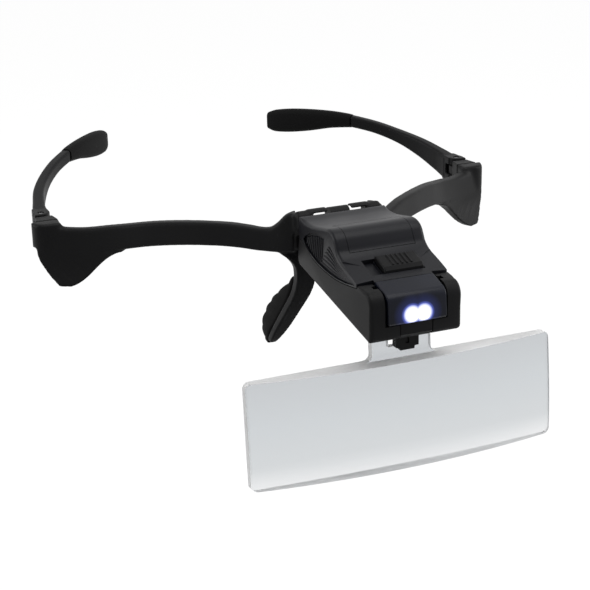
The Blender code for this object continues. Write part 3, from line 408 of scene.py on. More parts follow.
def smooth_path(stations, steps):
    """Points on a smooth curve through the stations."""
    points = [Vector(station) for station in stations]
    made = []
    for i in range(len(points) - 1):
        before = points[max(i - 1, 0)]
        after = points[min(i + 2, len(points) - 1)]
        leave = (points[i + 1] - before) / 2
        arrive = (after - points[i]) / 2
        for k in range(steps):
            t = k / steps
            start_share = 2 * t**3 - 3 * t**2 + 1
            made.append(
                start_share * points[i]
                + (t**3 - 2 * t**2 + t) * leave
                + (1 - start_share) * points[i + 1]
                + (t**3 - t**2) * arrive
            )
    made.append(points[-1])
    return made


def level_normals(points):
    normals = []
    for i in range(len(points)):
        before = points[max(i - 1, 0)]
        after = points[min(i + 1, len(points) - 1)]
        along = Vector((after[0] - before[0], after[1] - before[1])).normalized()
        normals.append(Vector((along.y, -along.x, 0)))
    return normals


def round_box(half_wide, half_tall, radius, per_corner):
    """A rectangle with round corners, as (across, up) pairs."""
    points = []
    for corner, (sx, sy) in enumerate(((1, 1), (-1, 1), (-1, -1), (1, -1))):
        for i in range(per_corner + 1):
            angle = math.pi / 2 * (corner + i / per_corner)
            x = sx * (half_wide - radius) + radius * math.cos(angle)
            y = sy * (half_tall - radius) + radius * math.sin(angle)
            points.append((x, y))
    return points


def arc(middle, radius, start, end, count):
    angles = [math.radians(start + (end - start) * i / (count - 1)) for i in range(count)]
    return [(middle[0] + radius * math.cos(a), middle[1] + radius * math.sin(a)) for a in angles]


print("a sample section has", len(round_box(2, 4, 1, 4)), "points")

# %% Outlines pushed into solids
MITRE_LIMIT = 0.35


def mirrored(rings, side):
    return [[Vector((side * p[0], p[1], p[2])) for p in ring] for ring in rings]


def pushed(outline, axis, low, high):
    """Rings of an outline pushed along one axis. Its pairs are the other two axes in X, Y, Z order."""
    index = "XYZ".index(axis)
    rings = []
    for level in (low, high):
        ring = []
        for pair in outline:
            point = list(pair)
            point.insert(index, level)
            ring.append(Vector(point))
        rings.append(ring)
    return rings


def block(low, high):
    outline = [(low[0], low[1]), (high[0], low[1]), (high[0], high[1]), (low[0], high[1])]
    return pushed(outline, "Z", low[2], high[2])


def rod(start, end, radius, sides=40):
    start = Vector(start)
    end = Vector(end)
    turn = (end - start).to_track_quat("Z", "Y")
    angles = [2 * math.pi * i / sides for i in range(sides)]
    circle = [turn @ Vector((radius * math.cos(a), radius * math.sin(a), 0)) for a in angles]
    return [[place + spoke for spoke in circle] for place in (start, end)]


def cushion_prism(outline, half, steps=5):
    """An outline in Y and Z pushed along X, with its own edge radius at each point: (y, z, radius)."""
    count = len(outline)
    turn = sum(
        outline[i][0] * outline[(i + 1) % count][1] - outline[(i + 1) % count][0] * outline[i][1]
        for i in range(count)
    )
    inward = []
    for i in range(count):
        before = Vector(outline[i - 1][:2])
        here = Vector(outline[i][:2])
        after = Vector(outline[(i + 1) % count][:2])
        first = (here - before).normalized()
        second = (after - here).normalized()
        normal = Vector((-first.y - second.y, first.x + second.x)).normalized() * math.copysign(1, turn)
        square = max(MITRE_LIMIT, normal.dot(Vector((-first.y, first.x)) * math.copysign(1, turn)))
        inward.append(normal / square)
    rings = []
    for step in range(steps + 1):
        angle = math.pi / 2 * (1 - step / steps)
        ring = []
        for (y, z, radius), way in zip(outline, inward):
            sink = radius * (1 - math.cos(angle))
            place = Vector((y, z)) + way * sink
            ring.append(Vector((half - radius * (1 - math.sin(angle)), place.x, place.y)))
        rings.append(ring)
    other = mirrored(reversed(rings), -1)
    return rings + other


print("a rod has", len(rod((0, 0, 0), (0, 0, 1), 1)), "rings")

# %% [markdown]
# The front frame is one moulding: the brow bar, the two hinge ears on the bridge, the nose legs and the
# drop wings at the ends. Each is a plain skin of its own. Melting them together with a fine voxel remesh
# and easing the result gives the fillets that a moulding tool has, which no bevel would find by itself.

# %% Sizes of the front frame
BAR_THICK = 4.0
BAR_LEAN = 1.2
# Along one half of the bar: x, y, top and bottom.
BAR_STATIONS = [
    (13.5, -0.6, 8.4, -4.6),
    (16.2, 0.9, 7.2, -4.6),
    (18.6, 2.8, 4.2, -4.8),
    (21.5, 5.5, 2.4, -4.8),
    (30.0, 13.4, 2.9, -4.4),
    (40.0, 22.4, 2.4, -5.1),
    (50.0, 32.0, 0.9, -6.9),
    (60.0, 42.0, -1.7, -9.8),
    (70.0, 49.6, -3.4, -10.9),
    (81.0, 56.0, -3.0, -10.6),
]
# Down the wing: height, inner and outer end measured along the bar, thickness and flare.
WING_STATIONS = [
    (-7.0, -30.0, -0.2, 3.4, 0.0),
    (-9.8, -28.5, 1.6, 3.5, 0.1),
    (-10.9, -25.6, 2.0, 3.7, 0.8),
    (-13.0, -22.2, 1.7, 3.4, 1.0),
    (-16.0, -18.8, -0.1, 3.2, 1.8),
    (-19.0, -15.8, -2.5, 3.0, 3.0),
    (-21.1, -12.8, -4.8, 2.8, 4.1),
    (-22.3, -9.8, -6.0, 2.2, 4.7),
]
WING_COLUMNS = 9
# Down the nose leg: height, inner and outer edge, front and back.
LEG_STATIONS = [
    (-3.2, 5.0, 20.0, 0.6, 2.9),
    (-5.2, 5.0, 18.2, 0.0, 2.9),
    (-7.7, 5.2, 15.3, -0.4, 2.9),
    (-10.7, 5.5, 13.3, -0.6, 2.9),
    (-15.0, 6.4, 13.0, -0.4, 3.0),
    (-20.0, 8.0, 14.0, 0.2, 3.6),
    (-26.0, 11.5, 16.8, 1.4, 4.8),
    (-31.5, 14.6, 19.3, 3.0, 6.2),
    (-35.4, 17.4, 20.5, 4.4, 7.4),
    (-37.0, 18.6, 20.4, 5.6, 7.6),
]
BRIDGE_LOW = (-14.0, -1.2, -4.2)
BRIDGE_HIGH = (14.0, 3.2, 1.8)
BAR_CORNER = 0.9
BAR_STEPS = 6
HINGE = (-3.5, 6.4)
HINGE_EAR = 2.75
HINGE_EAR_SPAN = (9.1, 14.6)
HINGE_EAR_ARC = (215, 0)
HINGE_EAR_FRONT = 0.8
HINGE_STRIP = (2.3, 3.0)
HINGE_STRIP_INNER = 3.9
HINGE_STRIP_LAP = 1.0
HINGE_STRIP_ARC = (50, 130)
PIVOT = tuple(1000 * v for v in frame["joints"][0]["pos_m"])
BOSS_HALF = 3.9
BOSS_Y = (52.8, 58.0)
BOSS_Z = (-10.4, -1.8)
BOSS_PROUD = 1.5
BOSS_CORNER = 4.2
print("temple pivot at", [round(v, 1) for v in PIVOT], "mm")

# %% [markdown]
# Each skin is a row of sections. The bar's are boxes with round corners along its path, the wing's follow
# the end of the bar and flare outwards as they drop, and the leg's taper down to the nose. The ears, the
# strips over the hinge and the end bosses are outlines pushed straight.

# %% Skins of the front frame


def bar_skin(side):
    path = smooth_path(BAR_STATIONS, BAR_STEPS)
    rings = []
    for point, normal in zip(path, level_normals(path)):
        top, bottom = point[2], point[3]
        middle = (top + bottom) / 2
        ring = []
        for across, up in round_box(BAR_THICK / 2, (top - bottom) / 2, BAR_CORNER, 3):
            shift = across - BAR_LEAN * up / (top - bottom)
            ring.append(Vector((point[0], point[1], middle + up)) + normal * shift)
        rings.append(ring)
    return mirrored(rings, side)


def on_bar(reach):
    """A place on the bar's middle line, measured back from its end, and the level normal there."""
    path = smooth_path(BAR_STATIONS, BAR_STEPS)
    normals = level_normals(path)
    left = -reach
    for i in range(len(path) - 1, 0, -1):
        step = Vector(path[i - 1][:2]) - Vector(path[i][:2])
        if left <= step.length or i == 1:
            place = Vector(path[i][:2]) + step * (left / step.length)
            return Vector((*place, 0)), normals[i]
        left -= step.length


def wing_skin(side):
    """A plate that follows the bar, flares outwards as it drops and ends in a blunt corner."""
    rings = []
    for height, inner, outer, thick, flare in smooth_path(WING_STATIONS, 4):
        front = []
        rear = []
        for column in range(WING_COLUMNS):
            place, normal = on_bar(inner + (outer - inner) * column / (WING_COLUMNS - 1))
            place.z = height
            front.append(place + normal * (flare + thick / 2))
            rear.append(place + normal * (flare - thick / 2))
        rings.append(front + list(reversed(rear)))
    return mirrored(rings, side)


def leg_skin(side):
    rings = []
    for height, inner, outer, front, back in smooth_path(LEG_STATIONS, 4):
        corners = ((inner, front), (outer, front), (outer, back), (inner, back))
        rings.append([Vector((x, y, height)) for x, y in corners])
    return mirrored(rings, side)


def ear_skin(side):
    front = BRIDGE_LOW[1]
    rear, top = BRIDGE_HIGH[1:]
    outline = arc(HINGE, HINGE_EAR, *HINGE_EAR_ARC, 21)
    outline += [(rear, top), (rear, 0.0), (front, 0.0), (front, HINGE_EAR_FRONT)]
    return pushed(outline, "X", *(side * x for x in HINGE_EAR_SPAN))


def strip_skin(side):
    """A thin strip over the hinge's gap, which leaves a small window between it and the housing."""
    low, high = HINGE_STRIP_ARC
    outline = arc(HINGE, HINGE_STRIP[1], low, high, 9) + arc(HINGE, HINGE_STRIP[0], high, low, 9)
    outer = HINGE_EAR_SPAN[0] + HINGE_STRIP_LAP
    return pushed(outline, "X", side * HINGE_STRIP_INNER, side * outer)


def boss_skin(side):
    """The rounded end of the bar that carries the hinge block."""
    low = PIVOT[0] - BOSS_HALF
    high = PIVOT[0] + BOSS_HALF + BOSS_PROUD
    outline = [(low, BOSS_Y[1]), (low, BOSS_Y[0])]
    outline += arc((high - BOSS_CORNER, BOSS_Y[0] + BOSS_CORNER), BOSS_CORNER, 270, 360, 7)
    outline.append((high, BOSS_Y[1]))
    return mirrored(pushed(outline, "Z", *BOSS_Z), side)


print("bar has", len(bar_skin(1)), "sections")

# %% [markdown]
# The bar's ends and its shoulders beside the hinge are rounder than the rest, so they are smoothed more,
# by a weight on their points. The wings carry faint flutes that fan out below the crease. They are pressed
# into the finished moulding as a shallow wave across its outer face, fading towards the crease.

# %% Eased ends and flutes
EASE_PASSES = 40
END_X = (62.0, 70.0)
END_Y = (BOSS_Y[1] - 0.6, BOSS_Y[1] - 2.6)
END_Z = (-15.0, -11.0)
SHOULDER_INNER = (12.8, 14.3)
SHOULDER_OUTER = (24.0, 19.0)
SHOULDER_Z = (-6.0, -3.0)
FLUTE_DEPTH = 0.22
FLUTE_PITCH = 4.6
FLUTE_SLANT = 1.2
FLUTE_TOP = -13.0
FLUTE_FADE = 4.0
FLUTE_INNER = 58.0
FLUTE_FACING = 0.6


def rise(value, start, full):
    """0 where a run starts and 1 where it is full, going on past both."""
    return (value - start) / (full - start)


def ease_weight(place):
    """How far a place is rounded off: fully at the bar's ends and at its shoulders beside the hinge."""
    across = abs(place.x)
    end = min(rise(across, *END_X), rise(place.y, *END_Y), rise(place.z, *END_Z))
    shoulder = min(rise(across, *SHOULDER_INNER), rise(across, *SHOULDER_OUTER), rise(place.z, *SHOULDER_Z))
    return min(1.0, max(end, shoulder))


def ease_ends(target):
    """Rounds parts of the bar further than the rest, as the tool's large fillets do."""
    group = target.vertex_groups.new(name="ends")
    for vertex in target.data.vertices:
        weight = ease_weight(vertex.co / MM)
        if weight > 0:
            group.add([vertex.index], weight, "REPLACE")
    ease = target.modifiers.new("ease_ends", "SMOOTH")
    ease.vertex_group = group.name
    ease.iterations = EASE_PASSES
    bake(target)
    target.vertex_groups.clear()


def press_flutes(target):
    last = Vector(BAR_STATIONS[-1][:2])
    along = (last - Vector(BAR_STATIONS[-2][:2])).normalized()
    outward = Vector((along.y, -along.x, 0))
    for vertex in target.data.vertices:
        place = vertex.co / MM
        out = Vector((math.copysign(outward.x, place.x), outward.y, 0))
        if abs(place.x) < FLUTE_INNER or place.z > FLUTE_TOP or vertex.normal.dot(out) < FLUTE_FACING:
            continue
        reach = (Vector((abs(place.x), place.y)) - last).dot(along)
        fade = min(1.0, (FLUTE_TOP - place.z) / FLUTE_FADE)
        fan = reach - FLUTE_SLANT * (place.z - FLUTE_TOP)
        wave = 0.5 - 0.5 * math.cos(2 * math.pi * fan / FLUTE_PITCH)
        vertex.co -= out * (FLUTE_DEPTH * fade * wave * MM)


print("weight at the end of the bar:", round(ease_weight(Vector(BAR_STATIONS[-1][:3])), 2))

# %% Mould the front frame
FRAME_VOXEL = 0.35
FRAME_PASSES = 5

skins = [block(BRIDGE_LOW, BRIDGE_HIGH)]
for side in (-1, 1):
    for make in (bar_skin, wing_skin, leg_skin, ear_skin, boss_skin, strip_skin):
        skins.append(make(side))
brow_frame = mould(solid("brow_frame", *skins), FRAME_VOXEL, FRAME_PASSES)
ease_ends(brow_frame)
press_flutes(brow_frame)
dress(brow_frame, satin_abs, "frame", ["front_frame"], sharp=60)

# %% [markdown]
# Behind each nose leg sits a rubber pad whose back edge is scalloped, so that it bends with the nose.
# The scallops are a rule, a half wave repeated down the pad, so the sections are worked out one by one.

# %% Nose pads
# Down the pad: height, inner and outer edge, and back.
PAD_STATIONS = [
    (-14.6, 9.0, 12.9, 4.4),
    (-17.8, 9.2, 13.6, 7.6),
    (-22.6, 10.6, 15.2, 13.2),
    (-26.0, 12.4, 16.8, 15.4),
    (-29.6, 14.4, 18.4, 16.4),
    (-33.5, 16.6, 20.2, 15.0),
    (-36.6, 18.0, 20.5, 12.0),
    (-37.8, 18.8, 20.4, 9.8),
]
PAD_GAP = 0.3
PAD_STEPS = 10
PAD_CORNER = 1.2
PAD_CORNER_SHARE = 0.8
SCALLOPS = 7
SCALLOP_DEPTH = 0.55
SCALLOP_PINCH = 0.35


def between(stations, level):
    """The section at one level, on straight lines between the stations."""
    ordered = sorted(stations)
    for low, high in zip(ordered, ordered[1:]):
        if low[0] <= level <= high[0]:
            share = (level - low[0]) / (high[0] - low[0])
            return [a + (b - a) * share for a, b in zip(low, high)]
    return ordered[0] if level < ordered[0][0] else ordered[-1]


def pad_rings(side):
    rings = []
    path = smooth_path(PAD_STATIONS, PAD_STEPS)
    for number, (height, inner, outer, back) in enumerate(path):
        front = between(LEG_STATIONS, height)[4] + PAD_GAP
        bite = SCALLOP_DEPTH * (1 - abs(math.sin(math.pi * SCALLOPS * number / (len(path) - 1))))
        half_deep = (back - bite - front) / 2
        half_wide = (outer - inner) / 2
        radius = min(PAD_CORNER, PAD_CORNER_SHARE * half_deep, PAD_CORNER_SHARE * half_wide)
        ring = []
        for across, deep in round_box(half_wide, half_deep, radius, 3):
            pinch = SCALLOP_PINCH * bite * max(0.0, deep / half_deep)
            x = (inner + outer) / 2 + across - math.copysign(pinch, across)
            ring.append(Vector((x, front + half_deep + deep, height)))
        rings.append(ring)
    return mirrored(rings, side)


for side, word in ((-1, "right"), (1, "left")):
    pad = solid(f"nose_rest_{word}", pad_rings(side))
    dress(pad, soft_rubber, "frame", [f"nose_pad_{word}"], sharp=50)

# %% [markdown]
# At each end of the bar a hinge block is plugged in, and the temple turns on it between two leaves. The
# temple is one sweep that starts as tall and wide as the block and thins to a flat bar. Block, leaves and
# sweep are melted together like the frame, and the room for the knuckle is cut out afterwards, so that its
# walls stay crisp.

# %% Sizes of the hinges and temples
TOUCH = 0.3
SEAM = 0.15
KNUCKLE_RADIUS = 2.7
KNUCKLE_HALF = 1.6
KNUCKLE_ROOM = 0.25
TEMPLE_MIDDLE = -5.8
TEMPLE_HALF = 4.5
CHEEK = [(0.2, -2.7), (2.7, -2.7), (1.9, 5.4), (0.2, 5.4)]
WEB = (-3.2, 1.9)
FILL_START = 2.4
TEMPLE_START = 3.9
TEMPLE_ROOT = 1.5
TEMPLE_STEPS = 6
NECK_LAP = 1.0
TEMPLE_CORNER = 0.5
PIN_RADIUS = 0.8
BORE_Z = (-20.0, 9.0)
BLOCK_VOXEL = 0.22
TEMPLE_VOXEL = 0.25
HINGE_PASSES = 3
# Along the temple: x from the pivot, y from its start, middle height, height and thickness.
TEMPLE_STATIONS = [
    (-0.9, 0.0, -5.8, 9.0, 5.0),
    (-1.2, 3.0, -5.3, 9.0, 4.6),
    (-2.0, 6.9, -4.3, 8.4, 4.1),
    (-4.4, 15.9, -1.9, 6.8, 3.8),
    (-8.8, 25.4, 0.8, 5.0, 3.6),
    (-14.8, 34.4, 3.2, 4.4, 3.6),
    (-21.4, 42.2, 4.7, 4.4, 3.6),
]

print("temple has", len(TEMPLE_STATIONS), "stations")

# %% Hinge blocks and temples


def temple_sweep(stations, corner, ends=()):
    """Rings along a temple or a tip, closed in by a few smaller rings at its end."""
    path = smooth_path(stations, TEMPLE_STEPS)
    rings = []
    for point, normal in zip(path, level_normals(path)):
        place = Vector((PIVOT[0] + point[0], PIVOT[1] + TEMPLE_START + point[1], point[2]))
        half_tall = point[3] / 2
        half_wide = point[4] / 2
        radius = corner * min(half_tall, half_wide)
        section = round_box(half_wide, half_tall, radius, 4)
        rings.append([place + normal * across + Vector((0, 0, up)) for across, up in section])
    for share in ends:
        middle = sum(rings[-1], Vector()) / len(rings[-1])
        rings.append([middle + (point - middle) * share for point in rings[-1]])
    return rings


def pivot_rod(low, high, radius):
    return rod((PIVOT[0], PIVOT[1], low), (PIVOT[0], PIVOT[1], high), radius)


def pin_bore(side):
    return solid("bore", mirrored(pivot_rod(*BORE_Z, PIN_RADIUS + TOUCH), side))


def hinge_block(side, word):
    x, y = PIVOT[:2]
    front = BOSS_Y[1] + SEAM
    back = y - KNUCKLE_RADIUS - 2 * SEAM
    outline = [(x - BOSS_HALF, front), (x + BOSS_HALF, front)]
    outline += [(x + CHEEK[1][0], back), (x + WEB[0], back)]
    low = TEMPLE_MIDDLE - KNUCKLE_HALF
    high = TEMPLE_MIDDLE + KNUCKLE_HALF
    neck = block((x - KNUCKLE_RADIUS, back - NECK_LAP, low), (x + KNUCKLE_RADIUS, y, high))
    barrel = pivot_rod(low, high, KNUCKLE_RADIUS)
    skins = [mirrored(rings, side) for rings in (pushed(outline, "Z", *BOSS_Z), neck, barrel)]
    made = mould(solid(f"temple_block_{word}", *skins), BLOCK_VOXEL, HINGE_PASSES)
    cut(made, pin_bore(side))
    dress(made, satin_abs, "frame", [f"hinge_block_{word}"], sharp=50)


def temple(side, word):
    x, y = PIVOT[:2]
    inner = x + WEB[0]
    outer = x + WEB[1]
    reach = y + TEMPLE_START + TEMPLE_ROOT
    gap = KNUCKLE_HALF + TOUCH
    cheek = [(x + across, y + along) for across, along in CHEEK]
    rings = [temple_sweep(TEMPLE_STATIONS, TEMPLE_CORNER)]
    rings.append(block((inner, y + FILL_START, TEMPLE_MIDDLE - gap), (outer, reach, TEMPLE_MIDDLE + gap)))
    for start, end in ((-TEMPLE_HALF, -gap), (gap, TEMPLE_HALF)):
        low = TEMPLE_MIDDLE + start
        high = TEMPLE_MIDDLE + end
        rings.append(pivot_rod(low, high, KNUCKLE_RADIUS))
        rings.append(block((inner, y, low), (outer, reach, high)))
        rings.append(pushed(cheek, "Z", low, high))
    skins = [mirrored(each, side) for each in rings]
    made = mould(solid(f"temple_{word}_bar", *skins), TEMPLE_VOXEL, HINGE_PASSES)
    room = KNUCKLE_HALF + KNUCKLE_ROOM
    cylinder = pivot_rod(TEMPLE_MIDDLE - room, TEMPLE_MIDDLE + room, KNUCKLE_RADIUS + KNUCKLE_ROOM)
    cut(made, solid("room", mirrored(cylinder, side)), pin_bore(side))
    dress(made, satin_abs, f"temple_{word}", [f"temple_arm_{word}"], sharp=50)


for side, word in ((-1, "right"), (1, "left")):
    hinge_block(side, word)
    temple(side, word)

# %% [markdown]
# Soft rubber paddles are pushed over the ends of the temples. They are a little thicker than the bar, so
# a small step shows where they start. They are swept like the temple, with nearly round sections.

# %% Temple tips
TIP_STATIONS = [
    (-21.6, 42.5, 4.7, 5.0, 4.2),
    (-23.4, 44.8, 4.7, 5.6, 4.6),
    (-27.6, 49.9, 4.4, 6.8, 4.8),
    (-33.2, 57.0, 3.3, 8.6, 4.8),
    (-38.4, 64.1, 2.2, 9.4, 4.6),
    (-42.4, 70.0, 1.3, 8.8, 4.2),
    (-44.3, 73.1, 1.0, 6.8, 3.4),
]
TIP_CORNER = 0.85
TIP_ENDS = (0.72, 0.5)

for side, word in ((-1, "right"), (1, "left")):
    rings = temple_sweep(TIP_STATIONS, TIP_CORNER, TIP_ENDS)
    tip = solid(f"rubber_tip_{word}", mirrored(rings, side))
    dress(tip, soft_rubber, f"temple_{word}", [f"temple_tip_{word}"], sharp=70)

# %% [markdown]
# The lamp housing is two shells that meet along a line that dips in the middle. Both are outlines in the
# side view, pushed across the housing with round edges. The lower shell carries the lens, the hinge
# knuckle and the two ears that hold the lamp head.

# %% Sizes of the housing
# Places in the side view are (y, z), and lists of them run from the rear to the front.
HOUSING_HALF = 14.7
WALL = 1.5
FLOOR = 1.6
HOUSING_REAR = (-4.9, -7.0)
HOUSING_FRONT = (-59.4, -15.7)
PARTING = [
    (-6.9, 1.6),
    (-12.5, 0.2),
    (-17.0, -1.8),
    (-24.0, -3.0),
    (-34.0, -3.3),
    (-43.0, -2.4),
    (-50.2, -1.2),
]
PARTING_REAR = PARTING[0]
PARTING_FRONT = PARTING[-1]
HUMP = [
    (-6.6, 7.4),
    (-6.8, 8.2),
    (-7.5, 8.5),
    (-12.0, 8.2),
    (-17.5, 8.6),
    (-25.5, 10.2),
    (-29.0, 10.8),
    (-31.8, 10.4),
    (-33.8, 9.2),
    (-35.1, 7.4),
    (-36.2, 5.6),
    (-38.2, 4.25),
    (-40.5, 3.4),
]
SLOPE = ((-35.8, 4.6), (-51.0, 0.6))
LENS_TOP = (-47.0, -25.2)
LENS_TILT = math.radians(4.5)
TAB_HALF = 9.65
TAB_THICK = 2.6
LATCH_HALF = 3.7
LATCH_Y = (-53.4, -50.9)
LATCH_PLATE = 5.2
LATCH_ROOM = -54.2
LAMP_PIVOT = (-54.6, -4.0)
LAMP_PIN = 1.2
LAMP_PIN_REACH = 11.4
SCREW_X = 10.2
SCREW_Y = -38.0

print("housing is", 2 * HOUSING_HALF, "mm wide")

# %% Heights in the side view


def on_line(start, end, y):
    return start[1] + (y - start[0]) / (end[0] - start[0]) * (end[1] - start[1])


def height_on(line, y):
    """Height of a line of (y, z) points that runs forward, held level past its ends."""
    for start, end in zip(line, line[1:]):
        if end[0] <= y <= start[0]:
            return on_line(start, end, y)
    return line[0][1] if y > line[0][0] else line[-1][1]


def floor_height(y):
    return on_line(HOUSING_REAR, HOUSING_FRONT, y)


def slope_height(y):
    return on_line(*SLOPE, y)


def parting_line():
    """The line where the shells meet, from the rear to the front."""
    return [(point[0], point[1]) for point in smooth_path(PARTING, 4)]


def parting_height(y):
    return height_on(parting_line(), y)


def screw_place(side, height):
    return (side * SCREW_X, SCREW_Y, height)


print("floor under the lamp at", round(floor_height(LAMP_PIVOT[0]), 1), "mm")

# %% [markdown]
# The lower shell is hollowed and then cut: the bay for the lamp head, the slot for the lens's tab, the
# notch for the latch, the screw seats and the pin holes. In the mould each of these is a core, so a cut
# with a plain tool shape is close to how the real one gets them.

# %% Sizes of the lower shell
BAY_HALF = 10.0
BAY_BACK = -47.4
BAY_FLOOR = -10.8
EAR_TOP = -0.3
EAR_CORNER = -53.2
EAR_ROUND = 4.2
EAR_NOTCH_X = (9.4, 11.3)
EAR_NOTCH_Y = (-54.4, -52.4)
EAR_NOTCH_Z = (-2.3, 2.0)
TRAY_FOOT = 1.7
TRAY_REAR = [(-0.5, -6.2, 0.8), (-0.3, -4.7, 0.8), (-0.9, -2.0, 0.6)]
TRAY_BEND = -30.0
CHIN_TOP = -8.0
CHIN_RISE = 1.8
CHIN_RUN = 1.6
CLEAR_FRONT = -64.0
CLEAR_LOW = -22.0
CLEAR_TOP = 9.0
SLOT_TALL = 20.0
ARM_HALF = 3.3
ARM_BORE = 0.9
ARM_FOOT = [(-6.3, 2.8), (-7.3, 1.2), (-6.6, -2.0), (-3.2, -2.0), (-2.8, 2.0)]
SCREW_BOSS = 2.8
SCREW_BOSS_Z = (0.8, 3.4)
SCREW_SEAT = 2.2
SCREW_SEAT_TOP = 1.9
SCREW_HOLE = 1.3

print("bay for the lamp is", 2 * BAY_HALF, "mm wide")

# %% Outline of the lower shell


def tray_outline():
    """The lower shell from the side, as (y, z, edge radius), from the rear foot over the top."""
    front, low = HOUSING_FRONT
    rear = HOUSING_REAR[0]
    foot = rear - TRAY_FOOT
    chin = front + CHIN_RUN
    outline = [(foot, floor_height(foot), 0.8)]
    outline += [(rear + y, z, radius) for y, z, radius in TRAY_REAR]
    outline += [(y, z, 0.2) for y, z in parting_line()]
    outline += [(PARTING_FRONT[0] - TOUCH, EAR_TOP, 0.3), (EAR_CORNER, EAR_TOP, 0.7)]
    round_middle = (front + EAR_ROUND, EAR_TOP - EAR_ROUND - 0.2)
    outline += [(y, z, 1.0) for y, z in arc(round_middle, EAR_ROUND, 86, 180, 8)]
    outline += [(front, CHIN_TOP, 1.3), (front, low + CHIN_RISE, 1.3)]
    outline += [(front + 0.5, low + CHIN_RISE / 2, 1.1), (chin, floor_height(chin), 0.8)]
    outline += [(TRAY_BEND, floor_height(TRAY_BEND), 0.7)]
    return outline


def in_lens_frame(target):
    move = Matrix.Translation(Vector((0, *LENS_TOP)) * MM) @ Matrix.Rotation(-LENS_TILT, 4, "X")
    target.data.transform(move)
    return target


print("outline has", len(tray_outline()), "points")

# %% Arm and cuts of the lower shell


def cross_rod(name, half, centre, radius, sides=40):
    """A rod across the housing, through a place given as (y, z)."""
    return solid(name, rod((-half, *centre), (half, *centre), radius, sides))


def hinge_arm():
    outline = arc(HINGE, HINGE_EAR, -50, 180, 21) + ARM_FOOT
    arm = solid("arm", pushed(outline, "X", -ARM_HALF, ARM_HALF))
    return cut(arm, cross_rod("bore", 2 * ARM_HALF, HINGE, ARM_BORE))


def tray_cavity():
    inner = HOUSING_HALF - WALL
    rear = PARTING_REAR[0] - WALL / 2
    cavity = [(rear, floor_height(rear) + FLOOR), (rear, CLEAR_TOP)]
    cavity += [(BAY_BACK, CLEAR_TOP), (BAY_BACK, floor_height(BAY_BACK) + FLOOR)]
    return solid("cavity", pushed(cavity, "X", -inner, inner))


def lens_slot():
    reach = TAB_HALF + TOUCH
    slot = block((-reach, -TAB_THICK - TOUCH, 0), (reach, TOUCH, SLOT_TALL))
    return in_lens_frame(solid("slot", slot))


def chin_cut(name, half, front, rear):
    """A cutter through the floor of the lamp's bay."""
    return solid(name, block((-half, front, CLEAR_LOW), (half, rear, BAY_FLOOR + 1)))


def ear_notch(side):
    low, high = sorted(side * x for x in EAR_NOTCH_X)
    first = (low, EAR_NOTCH_Y[0], EAR_NOTCH_Z[0])
    return solid("notch", block(first, (high, EAR_NOTCH_Y[1], EAR_NOTCH_Z[1])))


print("screw holes at", screw_place(-1, 0)[:2], screw_place(1, 0)[:2])

# %% Lower shell


def lower_shell():
    shell = solid("lower_shell", cushion_prism(tray_outline(), HOUSING_HALF))
    bay = block((-BAY_HALF, CLEAR_FRONT, BAY_FLOOR), (BAY_HALF, BAY_BACK + 1, CLEAR_TOP))
    cut(shell, tray_cavity(), solid("bay", bay), lens_slot())
    cut(shell, chin_cut("latch_slot", LATCH_HALF + TOUCH, LATCH_ROOM - 1, LENS_TOP[0]))
    cut(shell, chin_cut("plate_notch", LATCH_PLATE + SEAM, CLEAR_FRONT, LATCH_ROOM))
    foot = floor_height(SCREW_Y)
    for side in (-1, 1):
        cut(shell, ear_notch(side))
        low, high = [screw_place(side, foot + lift) for lift in SCREW_BOSS_Z]
        join(shell, solid("boss", rod(low, high, SCREW_BOSS)))
        below = screw_place(side, foot - 3)
        cut(shell, solid("seat", rod(below, screw_place(side, foot + SCREW_SEAT_TOP), SCREW_SEAT)))
        cut(shell, solid("hole", rod(below, screw_place(side, foot + 6), SCREW_HOLE)))
    cut(shell, cross_rod("pivot", LAMP_PIN_REACH + TOUCH, LAMP_PIVOT, LAMP_PIN + TOUCH))
    return join(shell, hinge_arm())


dress(lower_shell(), satin_abs, "housing", ["housing_tray"])

# %% [markdown]
# The upper shell has a hump over the cells, whose front is the battery door, and a slope in front with
# the slide switch. Its outline is a smooth curve through a few points of the hump. The edge is nearly
# sharp at the rear and grows rounder forwards, because a large radius would fold over itself at the tight
# rear corner. The door is the same line, so it lies flush.

# %% Battery door
DOOR_HALF = 10.7
DOOR_REAR = -24.0
DOOR_FOOT = 5.2
DOOR_PLAY = 0.14
DOOR_INWARD = (0.75, -0.65)


def hump_line():
    """The top of the housing from the rear to the foot of the hump."""
    return [(point[0], point[1]) for point in smooth_path(HUMP, 5)]


def door_line(play):
    """The hump's line from the door's rear edge to its foot, longer by some play at each end."""
    line = hump_line()
    rear = DOOR_REAR + play
    foot = DOOR_FOOT - play
    made = []
    for (y0, z0), (y1, z1) in zip(line, line[1:]):
        if y1 < rear <= y0:
            made.append((rear, on_line((y0, z0), (y1, z1), rear)))
        if made and z1 < foot:
            share = (z0 - foot) / (z0 - z1)
            return made + [(y0 + (y1 - y0) * share, foot)]
        if made:
            made.append((y1, z1))


def door_outline(play, over):
    """The curved panel in the hump, or with some play the hole that it fills."""
    outer = door_line(play)
    deep = WALL + over
    inner = [(y + deep * DOOR_INWARD[0], z + deep * DOOR_INWARD[1]) for y, z in outer]
    raised = [(y - over, z + over) for y, z in outer]
    return raised + list(reversed(inner))


door = solid("hump_door", pushed(door_outline(0.0, 0.0), "X", -DOOR_HALF, DOOR_HALF))
print("door line has", len(door_line(0.0)), "points")

